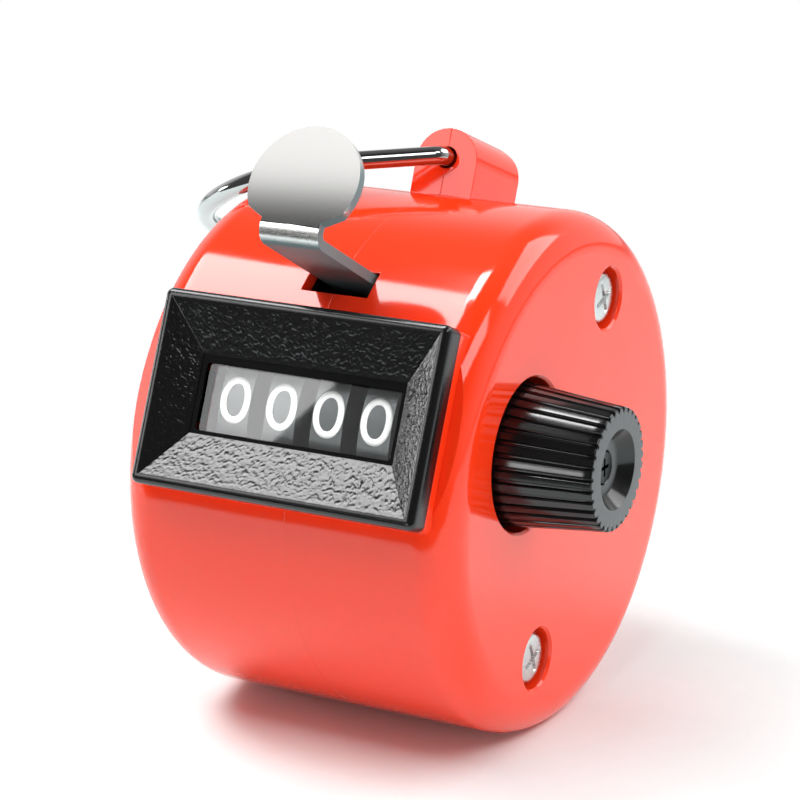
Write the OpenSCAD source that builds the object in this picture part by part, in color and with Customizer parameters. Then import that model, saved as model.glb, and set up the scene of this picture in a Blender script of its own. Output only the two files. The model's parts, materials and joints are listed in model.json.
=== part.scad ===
// Hand tally counter: a round drum in two moulded halves, a window bezel with a clear lens,
// four number wheels on a reset shaft, a sprung thumb lever with its pawl, and a finger ring.
// The drum's axis lies along X. Z = 0 is the flat that the drum stands on, X = 0 is the seam.

/* [Drum] */
// Outside diameter of the drum
drum_d = 42; // [41:0.5:46]
// Width of the left half, from the seam to its end face
left_w = 15.4; // [14.5:0.1:19]
// Width of the right half, from the seam to its end face
right_w = 14; // [13.5:0.1:17]
// Wall thickness of the two halves
wall = 1.8; // [1.4:0.1:2.1]
// Rounding of the drum's end edges
edge_r = 3.1; // [2.4:0.1:3.6]
// Width of the flat under the drum
stand_flat_w = 8; // [4:0.5:10]

/* [Lug and finger ring] */
// Lean of the lug behind the top of the drum, in degrees
lug_angle = 21.5; // [15:0.5:30]
// Width of the lug across the seam
lug_w = 5.5; // [4.6:0.1:7]
// Length of the lug along its hole
lug_l = 8.1; // [6:0.1:9]
// Height of the lug above the drum
lug_h = 5.1; // [4.6:0.1:6.5]
// Height of the lug's hole above the drum
lug_hole_h = 2.7; // [2.4:0.1:3]
// Inside diameter of the finger ring's round end
finger_hole_d = 20.9; // [19:0.1:22]
// Sideways run of each leg of the finger ring, as a share of its outward run
ring_flare = 0.75; // [0.6:0.05:0.9]
// Diameter of the ring's wire
ring_wire_d = 1.5; // [1:0.1:1.8]
// Droop of the resting ring below the tangent of the drum, in degrees
ring_droop = 19; // [10:0.1:19]

/* [Window] */
// Tilt of the window above the horizontal, in degrees
window_tilt = 23; // [18:0.5:28]
// Depth of the seat that is cut into the drum
seat_cut = 1.1; // [0.9:0.1:1.4]
// Width of the bezel
bezel_w = 24.6; // [23:0.1:26]
// Height of the bezel
bezel_h = 15.2; // [12.5:0.1:15.5]
// Thickness of the bezel above its seat
bezel_t = 2.7; // [2.4:0.1:3.2]
// Offset of the bezel up along its seat
bezel_shift = 0.6; // [0:0.1:1]
// Corner radius of the bezel
bezel_corner_r = 0.6; // [0.3:0.1:1.5]
// Plain land along the bezel's edge
bezel_land = 0.75; // [0.3:0.05:1]
// Depth of the sloped faces round the window
slope_depth = 1.7; // [1.2:0.1:1.9]
// Width of the window
window_w = 17.1; // [16:0.1:17.5]
// Height of the window
window_h = 5.6; // [4.5:0.1:6.5]
// Step from the foot of the slopes to the lens
lens_step = 0.35; // [0.2:0.05:0.5]
// Thickness of the lens
lens_t = 0.9; // [0.6:0.1:1.2]
// Width of the lens edge that lies under the bezel
lens_lap = 0.7; // [0.4:0.1:0.9]
// Width of one bezel clip
clip_w = 4; // [2.5:0.1:6]
// Thickness of one bezel clip
clip_t = 0.8; // [0.6:0.1:1]

/* [Number wheels] */
// Diameter of the number wheels
wheel_d = 20.2; // [19:0.1:20.8]
// Distance from one wheel to the next
wheel_pitch = 4.1; // [3.9:0.05:4.2]
// Width of the printed band on a wheel
band_w = 2.7; // [2.3:0.1:2.8]
// Thickness of a wheel's rim
rim_t = 1.2; // [0.8:0.1:1.6]
// Thickness of a wheel's web
web_t = 0.8; // [0.6:0.1:1]
// Gap between the lens and the wheels
lens_gap = 0.45; // [0.3:0.05:0.6]
// Diameter of the ratchet on each wheel
ratchet_d = 6.2; // [5.8:0.1:6.6]
// Depth of the ratchet teeth
tooth_h = 0.6; // [0.4:0.05:0.7]

/* [Reset shaft and knob] */
// Diameter of the reset shaft
shaft_d = 2.5; // [2:0.1:2.8]
// Diameter of the knob where it leaves the drum
knob_base_d = 11; // [9:0.1:12]
// Diameter of the knob at its end
knob_tip_d = 9.5; // [8:0.1:12]
// Length of the knob outside the drum
knob_reach = 7.5; // [6:0.1:10]
// Number of ribs round the knob
rib_count = 34; // [24:1:40]
// Height of the ribs
rib_h = 0.3; // [0.2:0.05:0.4]
// Gap round the knob in its hole
knob_gap = 0.5; // [0.3:0.05:0.8]
// Diameter of the recess in the knob's end
recess_d = 6.1; // [5:0.1:6.5]

/* [Thumb lever] */
// Width of the lever strip
strip_w = 5; // [4:0.1:6]
// Thickness of the lever strip
strip_t = 0.8; // [0.6:0.05:1]
// Rise of the strip above the horizontal, in degrees
strip_rise = 28.7; // [24:0.1:32]
// Length of the strip from its pivot to the bend
strip_reach = 14.2; // [13:0.1:17]
// Radius of the bend at the middle of the strip
bend_r = 0.9; // [0.6:0.1:1.2]
// Diameter of the thumb pad
pad_d = 9.1; // [7:0.1:12]
// Lean of the thumb pad behind the vertical, in degrees
pad_lean = 36.4; // [25:0.1:42]
// Distance from the bend to the middle of the pad
pad_up = 4.4; // [3.5:0.1:6]
// Turn of the lever when it is pressed, in degrees
lever_stroke = 11.5; // [8:0.5:12]
// Gap on each side of the strip in its slot
slot_gap = 0.39; // [0.2:0.01:0.6]

/* [Fasteners] */
// Diameter of the screw heads
screw_head_d = 4.2; // [3.4:0.1:4.4]
// Diameter of the screw shanks
screw_d = 2; // [1.6:0.1:2.2]
// Diameter of the screw posts
post_d = 4.8; // [4.4:0.1:5]
// Angle of the upper screw above the horizontal, in degrees
screw_angle = 65.5; // [62:0.5:68]

/* [Hidden] */
$fn = 96;

// Clearances
run_fit = 0.05;
push_fit = 0.02;
part_gap = 0.3;
slip_gap = 0.15;
weld = 0.02;

// Drum
drum_r = drum_d / 2;
inner_r = drum_r - wall;
axis_z = sqrt(drum_r * drum_r - stand_flat_w * stand_flat_w / 4);
beyond = drum_d * 2;

// Window, in the frame of the window's normal
seat_d = drum_r - seat_cut;
lens_top = bezel_t - slope_depth - lens_step;
lens_w = window_w + 2 * lens_lap;
lens_h = window_h + 2 * lens_lap;
out_n = [-cos(window_tilt), sin(window_tilt)];
up_n = [sin(window_tilt), cos(window_tilt)];
clip_x = lens_w / 2 + part_gap;
clip_hook = 0.5;
clip_hook_t = 0.8;
clip_slack = 0.1;
clip_len = wall + clip_slack + clip_hook_t;
opening_w = 2 * (clip_x + clip_t + slip_gap);

// Number wheels, placed by the lens
wheel_r = wheel_d / 2;
wheel_set = seat_d + lens_top - lens_t - lens_gap - wheel_r;
wheel_axis = out_n * wheel_set + up_n * bezel_shift;
places = [1.5, 0.5, -0.5, -1.5];
hub_left = 1.25;
hub_gap = 0.2;
hub_right = wheel_pitch - hub_left - hub_gap;
ratchet_r = ratchet_d / 2;
root_r = ratchet_r - tooth_h;
hub_step = 0.2;
hub_r = root_r - hub_step;
ratchet_t = 0.75;
ratchet_x = wheel_pitch / 2;
tooth_foot_turn = 5;
tooth_tip_turn = 9;
digit_turn = 36;
shaft_r = shaft_d / 2;
wall_line = seat_d - wall - wheel_set;
opening_h = 2 * (sqrt(wheel_r * wheel_r - wall_line * wall_line) + 2 * part_gap);

// Reset keys: a leaf on each wheel whose tip lies in the groove of the shaft
key_t = 0.3;
key_w = 0.5;
key_tail_w = 1.6;
key_tail_r = 7.2;
key_peg_r = 0.4;
key_peg_at = 6.2;
key_neck_l = 1;
key_neck_lap = 0.6;
key_angle = 100;
groove_w = key_w + 2 * slip_gap;
groove_h = 0.5;

// Mechanism frame
plate_t = 0.8;
washer_room = 0.5;
frame_in = places[0] * wheel_pitch + hub_right + washer_room;
web_drop = 1.3;
web_top = wheel_axis.y - wheel_r - web_drop;
frame_web_t = 1.6;
web_mid = web_top - frame_web_t / 2;
web_front = -1;
web_back_room = 6;
web_back = inner_r - web_back_room;
plate_boss = 1.2;
plate_ear_r = 1.3;
plate_fn = 32;

// Case screws
post_r = post_d / 2;
post_inset = 2.2;
screw_ring = inner_r - post_r - post_inset;
screw_points = [unit(screw_angle) * screw_ring, unit(screw_angle + 180) * screw_ring];
head_sink = 0.45;
head_t = 0.9;
head_gap = 0.35;
head_hole_r = screw_head_d / 2 + head_gap;
spigot_wall = 0.7;
spigot_r = post_r - spigot_wall;
spigot_l = 1.5;
mouth_chamfer = 0.2;
screw_tip_x = -9;
cross_reach = 0.3;
cross_slot = 0.12;
cross_depth = 0.45;

// Thumb lever: its knuckle lies in the corner between the wheels and the wall
knuckle_r = 1.5;
pivot_pin_r = 0.75;
from_wheels = wheel_r + part_gap + run_fit + knuckle_r;
from_axis = inner_r - part_gap - knuckle_r;
axis_gap = norm(wheel_axis);
along_gap = (from_axis * from_axis - from_wheels * from_wheels + axis_gap * axis_gap) / (2 * axis_gap);
across_gap = sqrt(from_axis * from_axis - along_gap * along_gap);
to_wheels = wheel_axis / axis_gap;
pivot = to_wheels * along_gap + [to_wheels.y, -to_wheels.x] * across_gap;
strip_dir = 180 - strip_rise;
pad_dir = 90 - pad_lean;
under_off = knuckle_r - strip_t / 2;
strip_foot = pivot + unit(strip_dir + 90) * under_off;
bend_tangent = bend_r * tan((strip_dir - pad_dir) / 2);
bend_start = strip_foot + unit(strip_dir) * (strip_reach - bend_tangent);
bend_mid = bend_start + unit(strip_dir - 90) * bend_r;
bend_end = bend_mid + unit(pad_dir + 90) * bend_r;
pad_rise = pad_up - bend_tangent;
pad_mid = bend_end + unit(pad_dir) * pad_rise;
slot_w = strip_w + 2 * slot_gap;
neck_slope = 28;

// Pawl: hung on the tail of the lever, which ends clear of the upper screw post
pawl_pin_r = 0.5;
pawl_knuckle_r = 1.1;
leaf_t = 0.25;
leaf_bridge = pawl_knuckle_r + slip_gap + leaf_t / 2;
leaf_swell = 1.1;
leaf_root = 0.6;
leaf_flat_end = 2.6;
tail_room = leaf_bridge * leaf_swell + leaf_t / 2 + slip_gap;
tail_len = norm(screw_points[0] - pivot) - post_r - tail_room;
tail_drop = 28;
tail_half_w = 1.4;
tail_left = ratchet_x - tail_half_w;
tail_right = ratchet_x + tail_half_w;
pawl_at = pivot + unit(-tail_drop) * tail_len;
barrel_r = 1;
finger_t = 0.7;
finger_h = 0.6;
pawl_tip_angle = -17;
finger_tip = wheel_axis + unit(pawl_tip_angle) * (ratchet_r + slip_gap + finger_h / 2);
bar_angle = -72;
bar_r = 0.5;
arm_t = 0.6;
bar_reach = pawl_knuckle_r + bar_r + part_gap + run_fit;
bar_at = pawl_at + unit(bar_angle) * bar_reach;
detent_t = 0.3;
detent_angle = -70;
detent_tip = wheel_axis + unit(detent_angle) * (ratchet_r + slip_gap + detent_t / 2);
detent_root_y = 2;
detent_root = [detent_root_y, web_top + detent_t / 2];
detent_len = 6;
rivet_r = 0.6;
rivet_head_t = 0.4;

// Return spring: coiled round the lever pin, with a leg on the lever's tail and a leg under a peg
coil_wire_r = 0.2;
coil_r = pivot_pin_r + coil_wire_r + part_gap - run_fit;
coil_turns = 4.55;
coil_pitch = 1;
coil_start_x = tail_right - part_gap;
coil_end_x = coil_start_x + coil_turns * coil_pitch;
coil_start = 90 - tail_drop;
coil_end = coil_start + 360 * coil_turns;
coil_leg = tail_len / 2;
spring_peg_r = 0.5;
peg_inset = 1;
leg_root = pivot + unit(coil_end) * coil_r;
leg_run = unit(coil_end + 90);
peg_off = coil_wire_r + spring_peg_r + run_fit;
spring_peg = leg_root + leg_run * (coil_leg - peg_inset) - unit(coil_end) * peg_off;

// Lug and ring
lug_top = drum_r + lug_h;
lug_hole_at = drum_r + lug_hole_h;
lug_round = 1.5;
ring_r = (finger_hole_d + ring_wire_d) / 2;
wire_r = ring_wire_d / 2;
lug_hole_r = wire_r + slip_gap;
ring_out = lug_l / 2 + part_gap;
ring_bend_r = 1.3;
ring_spread = atan(ring_flare);
leg_normal = unit(90 + ring_spread);
ring_leg_start = [ring_bend_r, ring_out] + leg_normal * ring_bend_r;
ring_mid = (ring_r - ring_leg_start * leg_normal) / sin(ring_spread);
ring_leg_l = norm([ring_mid, 0] + leg_normal * ring_r - ring_leg_start);

// Knob
knob_tip_x = right_w + knob_reach;
knob_inner_x = frame_in + plate_t + part_gap;
knob_start_in = 0.4;
knob_start_x = right_w - wall + knob_start_in;
knob_base_r = knob_base_d / 2;
knob_tip_r = knob_tip_d / 2;
knob_slope = (knob_base_r - knob_tip_r) / knob_reach;
knob_start_r = knob_base_r + knob_slope * (right_w - knob_start_x);
knob_hole_r = knob_base_r + knob_gap;
knob_collar_r = knob_base_r - 0.5;
rib_shares = [0.05, 0.45, 0.65, 0.85];
recess_depth = 1.1;
knob_screw_head_r = 1.2;
knob_screw_head_t = 0.9;
knob_screw_r = 0.6;
knob_screw_l = 3;
knob_floor_t = 1;
screw_seat_x = knob_tip_x - recess_depth - knob_screw_head_t;
shaft_end_x = screw_seat_x - knob_floor_t;
tapped_end_x = shaft_end_x - knob_screw_l - slip_gap;
clip_groove_x = -(frame_in + plate_t + slip_gap);
clip_ring_t = 0.5;
clip_ring_w = 1;
clip_groove_h = 0.3;
clip_mouth_w = 1.2 * shaft_r;

function unit(a) = [cos(a), sin(a)];
function place_x(i) = places[i] * wheel_pitch;

// Helpers: outlines drawn in (Y, Z) and carried along X
module drum_frame() {
    translate([0, 0, axis_z]) children();
}
module slab_x(x0, x1) {
    translate([x0, 0, 0]) rotate([90, 0, 90]) linear_extrude(x1 - x0) children();
}
module bar_x(x0, x1, r, at = [0, 0]) {
    translate([x0, at.x, at.y]) rotate([0, 90, 0]) cylinder(h = x1 - x0, r = r);
}
module spot(at, r) {
    translate(at) circle(r);
}
module bar(a, b, t) {
    translate(a) rotate(atan2(b.y - a.y, b.x - a.x)) translate([0, -t / 2]) square([norm(b - a), t]);
}
module at_window(depth) {
    rotate([90 - window_tilt, 0, 0]) translate([0, bezel_shift, depth]) children();
}
module at_lug() {
    rotate([-lug_angle, 0, 0]) children();
}
module at_wheel(i) {
    translate([place_x(i), wheel_axis.x, wheel_axis.y]) children();
}
module finger_slabs() {
    for (i = [0:3]) let (x = place_x(i) + ratchet_x)
        slab_x(x - finger_t / 2, x + finger_t / 2) children();
}
module rounded_rect(w, h, r) {
    square([w - 2 * r, h], center = true);
    square([w, h - 2 * r], center = true);
    for (x = [-1, 1], y = [-1, 1]) translate([x * (w / 2 - r), y * (h / 2 - r)]) circle(r);
}

// Drum halves
module half_form(side, r, w, e) {
    rotate([0, side * 90, 0]) rotate_extrude() {
        square([r - e, w]);
        square([r, w - e]);
        translate([r - e, w - e]) circle(e);
    }
}
module beyond_seat(depth) {
    at_window(depth) translate([-beyond / 2, -beyond / 2, 0]) cube(beyond);
}
module under_stand() {
    translate([-beyond / 2, -beyond / 2, -axis_z - beyond]) cube(beyond);
}
module lug_half(side, w) {
    root = drum_r - wall / 2;
    arch = lug_top - lug_w / 2;
    intersection() {
        at_lug() translate([0, lug_l / 2, 0]) rotate([90, 0, 0]) linear_extrude(lug_l) {
            translate([-lug_w / 2, root]) square([lug_w, arch - root]);
            translate([0, arch]) circle(lug_w / 2);
        }
        at_lug() slab_x(min(0, side * w), max(0, side * w)) {
            translate([-lug_l / 2, root - 1]) square([lug_l - lug_round, lug_top + 1 - root]);
            translate([-lug_l / 2, root - 1]) square([lug_l, lug_top + 1 - lug_round - root]);
            spot([lug_l / 2 - lug_round, lug_top - lug_round], lug_round);
        }
    }
}
module lug_hole() {
    at_lug() translate([0, lug_l, lug_hole_at]) rotate([90, 0, 0]) cylinder(h = 2 * lug_l, r = lug_hole_r);
}
module lever_slot() {
    deep = strip_reach;
    back_face = pivot + unit(strip_dir + 90) * (knuckle_r - strip_t - slip_gap);
    pressed_dir = strip_dir + lever_stroke;
    front_face = pivot + unit(pressed_dir + 90) * (knuckle_r + slip_gap);
    slab_x(-slot_w / 2, slot_w / 2) polygon([
        back_face,
        back_face + unit(strip_dir) * deep,
        front_face + unit(pressed_dir) * deep,
        front_face
    ]);
}
module window_opening() {
    at_window(seat_d - wall / 2) cube([opening_w, opening_h, 3 * wall], center = true);
}
module shell(side, w) {
    difference() {
        union() {
            difference() {
                union() {
                    difference() {
                        half_form(side, drum_r, w, edge_r);
                        beyond_seat(seat_d);
                        under_stand();
                    }
                    lug_half(side, w);
                }
                difference() {
                    half_form(side, inner_r, w - wall, edge_r - wall);
                    beyond_seat(seat_d - wall);
                }
            }
            children();
        }
        lever_slot();
        window_opening();
        lug_hole();
    }
}
module hole_mouth(r, at) {
    translate([right_w - mouth_chamfer, at.x, at.y]) rotate([0, 90, 0])
        cylinder(h = 2 * mouth_chamfer, r1 = r, r2 = r + 2 * mouth_chamfer);
}
module left_shell() {
    color("orangered") drum_frame() shell(-1, left_w)
        for (p = screw_points) difference() {
            union() {
                bar_x(wall / 2 - left_w, 0, post_r, p);
                bar_x(-wall, spigot_l, spigot_r, p);
            }
            bar_x(screw_tip_x - 1, spigot_l + 1, screw_d / 2 + push_fit, p);
        }
}
module right_shell() {
    color("orangered") drum_frame() difference() {
        shell(1, right_w) for (p = screw_points) bar_x(0, right_w - wall / 2, post_r, p);
        for (p = screw_points) {
            bar_x(-1, spigot_l + slip_gap, spigot_r + run_fit, p);
            bar_x(0, right_w, screw_d / 2 + slip_gap, p);
            bar_x(right_w - head_sink - head_t, right_w + 1, head_hole_r, p);
            hole_mouth(head_hole_r, p);
        }
        bar_x(right_w - 2 * wall, right_w + 1, knob_hole_r, wheel_axis);
        hole_mouth(knob_hole_r, wheel_axis);
    }
}

// Window
module window_bezel() {
    color("black") drum_frame() at_window(seat_d) difference() {
        union() {
            linear_extrude(bezel_t) rounded_rect(bezel_w, bezel_h, bezel_corner_r);
            for (s = [-1, 1]) {
                translate([s * (clip_x + clip_t / 2), 0, -clip_len / 2])
                    cube([clip_t, clip_w, clip_len + 2 * clip_slack], center = true);
                translate([s * (clip_x + clip_t), 0, -wall - clip_slack - clip_hook_t / 2])
                    cube([2 * clip_hook, clip_w, clip_hook_t], center = true);
            }
        }
        hull() {
            translate([0, 0, bezel_t]) linear_extrude(1)
                square([bezel_w - 2 * bezel_land, bezel_h - 2 * bezel_land], center = true);
            translate([0, 0, bezel_t - slope_depth]) linear_extrude(weld)
                square([window_w, window_h], center = true);
        }
        cube([window_w, window_h, 3 * bezel_t], center = true);
        translate([0, 0, lens_top - bezel_t]) linear_extrude(bezel_t)
            square([lens_w + 2 * run_fit, lens_h + 2 * run_fit], center = true);
    }
}
module window_lens() {
    color("whitesmoke", 0.35) drum_frame() at_window(seat_d + lens_top - lens_t)
        linear_extrude(lens_t) square([lens_w, lens_h], center = true);
}

// Fasteners
module cross_recess(x, head_d) {
    reach = head_d * cross_reach;
    slot = head_d * cross_slot;
    for (a = [0, 90]) translate([x, 0, 0]) rotate([a, 0, 0])
        cube([2 * cross_depth, 2 * reach, slot], center = true);
}
module case_screws() {
    head_x = right_w - head_sink;
    color("silver") drum_frame() for (p = screw_points) difference() {
        union() {
            bar_x(head_x - head_t, head_x, screw_head_d / 2, p);
            bar_x(screw_tip_x, head_x - head_t / 2, screw_d / 2, p);
        }
        translate([0, p.x, p.y]) cross_recess(head_x, screw_head_d);
    }
}

// Steel frame that carries the wheels, the lever pin and the springs
module frame_plate(x0) {
    $fn = plate_fn;
    slab_x(x0, x0 + plate_t) hull() {
        spot(wheel_axis, hub_r + plate_boss);
        spot(pivot, plate_ear_r);
        for (p = screw_points) spot(p, post_r + post_inset - part_gap);
        for (y = [web_front, web_back]) spot([y, web_mid], frame_web_t / 2);
    }
}
module mechanism_frame() {
    color("lightsteelblue") drum_frame() difference() {
        union() {
            frame_plate(frame_in);
            frame_plate(-frame_in - plate_t);
            slab_x(-frame_in - plate_t / 2, frame_in + plate_t / 2)
                bar([web_front, web_mid], [web_back, web_mid], frame_web_t);
            bar_x(coil_end_x - spring_peg_r, frame_in + plate_t / 2, spring_peg_r, spring_peg);
        }
        bar_x(-drum_r, drum_r, shaft_r + run_fit, wheel_axis);
        bar_x(-drum_r, drum_r, pivot_pin_r + push_fit, pivot);
        for (p = screw_points) bar_x(-drum_r, drum_r, post_r + slip_gap, p);
        rivet_points() cylinder(h = 4 * frame_web_t, r = rivet_r + push_fit, center = true);
    }
}
module rivet_points() {
    for (x = [-frame_in / 2, frame_in / 2])
        translate([x, detent_root.x + detent_len / 2, web_top]) children();
}
module detent_spring() {
    color("gainsboro") drum_frame() difference() {
        union() {
            slab_x(place_x(3) + ratchet_x - finger_t, place_x(0) + ratchet_x + finger_t / 2)
                bar(detent_root, detent_root + [detent_len, 0], detent_t);
            finger_slabs() {
                bar(detent_root, detent_tip, detent_t);
                spot(detent_root, detent_t / 2);
            }
        }
        rivet_points() cylinder(h = 2, r = rivet_r + push_fit, center = true);
    }
}
module detent_rivets() {
    color("gainsboro") drum_frame() rivet_points() {
        translate([0, 0, -frame_web_t]) cylinder(h = frame_web_t + detent_t, r = rivet_r);
        translate([0, 0, detent_t]) cylinder(h = rivet_head_t, r = 2 * rivet_r);
        translate([0, 0, -frame_web_t - rivet_head_t]) cylinder(h = rivet_head_t, r = 2 * rivet_r);
    }
}
module lever_pivot_pin() {
    color("silver") drum_frame() bar_x(-frame_in - plate_t, frame_in + plate_t, pivot_pin_r, pivot);
}

// Thumb lever
module bend_outline() {
    reach = bend_r + strip_t;
    mid_dir = (strip_dir + pad_dir) / 2 + 90;
    intersection() {
        difference() {
            spot(bend_mid, bend_r + strip_t / 2);
            spot(bend_mid, bend_r - strip_t / 2);
        }
        polygon([
            bend_mid,
            bend_mid + unit(strip_dir + 90) * reach,
            bend_mid + unit(mid_dir) * 2 * reach,
            bend_mid + unit(pad_dir + 90) * reach
        ]);
    }
}
module thumb_pad() {
    neck = part_gap - pad_rise;
    wide = strip_w / 2 + pad_d;
    translate([0, pad_mid.x, pad_mid.y]) rotate([pad_dir, 0, 0])
        linear_extrude(strip_t, center = true) intersection() {
            circle(pad_d / 2);
            polygon([
                [-strip_w / 2, neck],
                [strip_w / 2, neck],
                [wide, neck + pad_d * tan(neck_slope)],
                [wide, pad_d],
                [-wide, pad_d],
                [-wide, neck + pad_d * tan(neck_slope)]
            ]);
        }
}
module thumb_lever() {
    color("silver") drum_frame() difference() {
        union() {
            slab_x(-strip_w / 2, strip_w / 2) {
                spot(pivot, knuckle_r);
                bar(strip_foot, bend_start + unit(strip_dir) * weld, strip_t);
                bend_outline();
                bar(bend_end - unit(pad_dir) * weld, pad_mid, strip_t);
            }
            thumb_pad();
            slab_x(tail_left, tail_right) {
                bar(pivot, pawl_at, strip_t);
                spot(pawl_at, pawl_knuckle_r);
            }
        }
        bar_x(-strip_w, strip_w, pivot_pin_r + run_fit, pivot);
        bar_x(-strip_w, strip_w, pawl_pin_r + push_fit, pawl_at);
    }
}
module pawl_pin() {
    color("silver") drum_frame()
        bar_x(place_x(3) + ratchet_x - finger_t, frame_in - part_gap, pawl_pin_r, pawl_at);
}
module pawl_spring() {
    lift = unit(90 - tail_drop) * (strip_t / 2 + leaf_t / 2);
    base = pivot + unit(-tail_drop) * (knuckle_r + leaf_root) + lift;
    over = pawl_at + unit(90 - tail_drop) * leaf_bridge;
    corner = pawl_at + unit(50 - tail_drop) * leaf_bridge * leaf_swell;
    behind = pawl_at + unit(10 - tail_drop) * leaf_bridge * leaf_swell;
    rest = bar_at + unit(30 - tail_drop) * (bar_r + leaf_t / 2 + slip_gap);
    flat_end = pawl_at - unit(-tail_drop) * leaf_flat_end + lift;
    route = [base, flat_end, over, corner, behind, rest];
    color("gainsboro") drum_frame() slab_x(tail_left + slip_gap, coil_start_x - coil_wire_r - slip_gap) {
        for (i = [0:len(route) - 2]) bar(route[i], route[i + 1], leaf_t);
        for (i = [1:len(route) - 2]) spot(route[i], leaf_t / 2);
    }
}
module pawl_comb() {
    left_end = place_x(3) + ratchet_x - finger_t / 2;
    right_end = place_x(0) + ratchet_x + finger_t / 2;
    color("gainsboro") drum_frame() difference() {
        union() {
            bar_x(left_end, tail_left - part_gap, barrel_r, pawl_at);
            bar_x(tail_right + part_gap, right_end, barrel_r, pawl_at);
            bar_x(left_end, right_end, bar_r, bar_at);
            slab_x(left_end, tail_left - part_gap) bar(pawl_at, bar_at, arm_t);
            slab_x(tail_right + part_gap, right_end) bar(pawl_at, bar_at, arm_t);
            finger_slabs() {
                bar(pawl_at, finger_tip, finger_h);
                spot(finger_tip, finger_h / 2);
            }
        }
        bar_x(left_end - 1, right_end + 1, pawl_pin_r + run_fit, pawl_at);
    }
}

// Return spring: one wire from the leg on the tail, through the coil, to the leg under the peg
function spring_point(x, at) = [x, at.x, at.y];
tail_leg_lift = strip_t / 2 + coil_wire_r + run_fit;
tail_leg_end = pivot + unit(-tail_drop) * coil_leg + unit(coil_start) * tail_leg_lift;
coil_turn_steps = 8;
coil_steps = ceil(coil_turns * coil_turn_steps);
coil_path = concat(
    [[spring_point(coil_start_x, tail_leg_end), spring_point(0, unit(coil_start))]],
    [
        for (i = [0:coil_steps])
            let (done = i / coil_steps, a = coil_start + (coil_end - coil_start) * done)
            [
                spring_point(coil_start_x + (coil_end_x - coil_start_x) * done, pivot + unit(a) * coil_r),
                spring_point(0, unit(a))
            ]
    ],
    [[spring_point(coil_end_x, leg_root + leg_run * coil_leg), spring_point(0, unit(coil_end))]]
);
echo(return_spring_least_gap = min([
    for (i = [1:coil_steps - coil_turn_steps + 1])
        norm(coil_path[i][0] - coil_path[i + coil_turn_steps][0]) - 2 * coil_wire_r
]));

module swept_wire(path, r, sides) {
    last = len(path) - 1;
    rings = [
        for (i = [0:last])
            let (
                ahead = path[min(i + 1, last)][0] - path[max(i - 1, 0)][0],
                side = path[i][1],
                third = cross(ahead / norm(ahead), side),
                lift = third / norm(third)
            )
            for (k = [0:sides - 1]) let (a = 360 * k / sides)
                path[i][0] + r * (cos(a) * side + sin(a) * lift)
    ];
    walls = [
        for (i = [0:last - 1], k = [0:sides - 1])
            let (a = i * sides + k, b = i * sides + (k + 1) % sides)
            each [[a, a + sides, b], [b, a + sides, b + sides]]
    ];
    caps = [
        for (k = [1:sides - 2])
            each [[0, k, k + 1], [last * sides, last * sides + k + 1, last * sides + k]]
    ];
    polyhedron(rings, concat(walls, caps));
}
module return_spring() {
    color("gainsboro") drum_frame() swept_wire(coil_path, coil_wire_r, 6);
}

// Reset shaft and knob
module reset_shaft() {
    color("silver") drum_frame() difference() {
        bar_x(clip_groove_x - 2 * clip_ring_t - slip_gap, shaft_end_x, shaft_r, wheel_axis);
        translate([0, wheel_axis.x, wheel_axis.y]) rotate([key_angle - 90, 0, 0])
            translate([place_x(3) - hub_left, -groove_w / 2, shaft_r - groove_h])
            cube([place_x(0) - place_x(3) + 2 * hub_left, groove_w, groove_h + 1]);
        bar_x(tapped_end_x, shaft_end_x + 1, knob_screw_r + push_fit, wheel_axis);
        difference() {
            bar_x(clip_groove_x - clip_ring_t - push_fit, clip_groove_x + push_fit, 2 * shaft_r, wheel_axis);
            bar_x(clip_groove_x - 2 * clip_ring_t, clip_groove_x + 1, shaft_r - clip_groove_h, wheel_axis);
        }
    }
}
module shaft_clip() {
    color("dimgray") drum_frame() translate([0, wheel_axis.x, wheel_axis.y])
        slab_x(clip_groove_x - clip_ring_t, clip_groove_x) difference() {
            circle(shaft_r + clip_ring_w);
            circle(shaft_r - clip_groove_h + push_fit);
            translate([-clip_mouth_w / 2, 0]) square([clip_mouth_w, 3 * shaft_r]);
        }
}
module shaft_ring(x0, x1) {
    drum_frame() difference() {
        bar_x(x0, x1, hub_r, wheel_axis);
        bar_x(x0 - 1, x1 + 1, shaft_r + push_fit, wheel_axis);
    }
}
module wheel_spacer() {
    color("gainsboro") shaft_ring(slip_gap - frame_in, place_x(3) - hub_left - slip_gap);
}
module shaft_washer() {
    color("silver") shaft_ring(place_x(0) + hub_right + hub_gap / 2, frame_in - hub_gap / 2);
}
module rib_outline(r) {
    step = 360 / rib_count;
    polygon([
        for (k = [0:rib_count - 1]) each [
            unit(step * (k + rib_shares[0])) * r,
            unit(step * (k + rib_shares[1])) * r,
            unit(step * (k + rib_shares[2])) * (r - rib_h),
            unit(step * (k + rib_shares[3])) * (r - rib_h)
        ]
    ]);
}
module reset_knob() {
    color("black") drum_frame() difference() {
        union() {
            translate([knob_start_x, wheel_axis.x, wheel_axis.y]) rotate([90, 0, 90])
                linear_extrude(knob_tip_x - knob_start_x, scale = knob_tip_r / knob_start_r)
                rib_outline(knob_start_r);
            bar_x(knob_inner_x, knob_start_x + rib_h, knob_collar_r, wheel_axis);
        }
        translate([knob_tip_x - recess_depth, wheel_axis.x, wheel_axis.y]) rotate([0, 90, 0])
            cylinder(h = recess_depth + weld, r1 = recess_d / 4, r2 = recess_d / 2);
        bar_x(screw_seat_x, knob_tip_x, recess_d / 4, wheel_axis);
        bar_x(shaft_end_x - 1, screw_seat_x + 1, knob_screw_r + run_fit, wheel_axis);
        bar_x(knob_inner_x - 1, shaft_end_x, shaft_r + push_fit, wheel_axis);
    }
}
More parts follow.
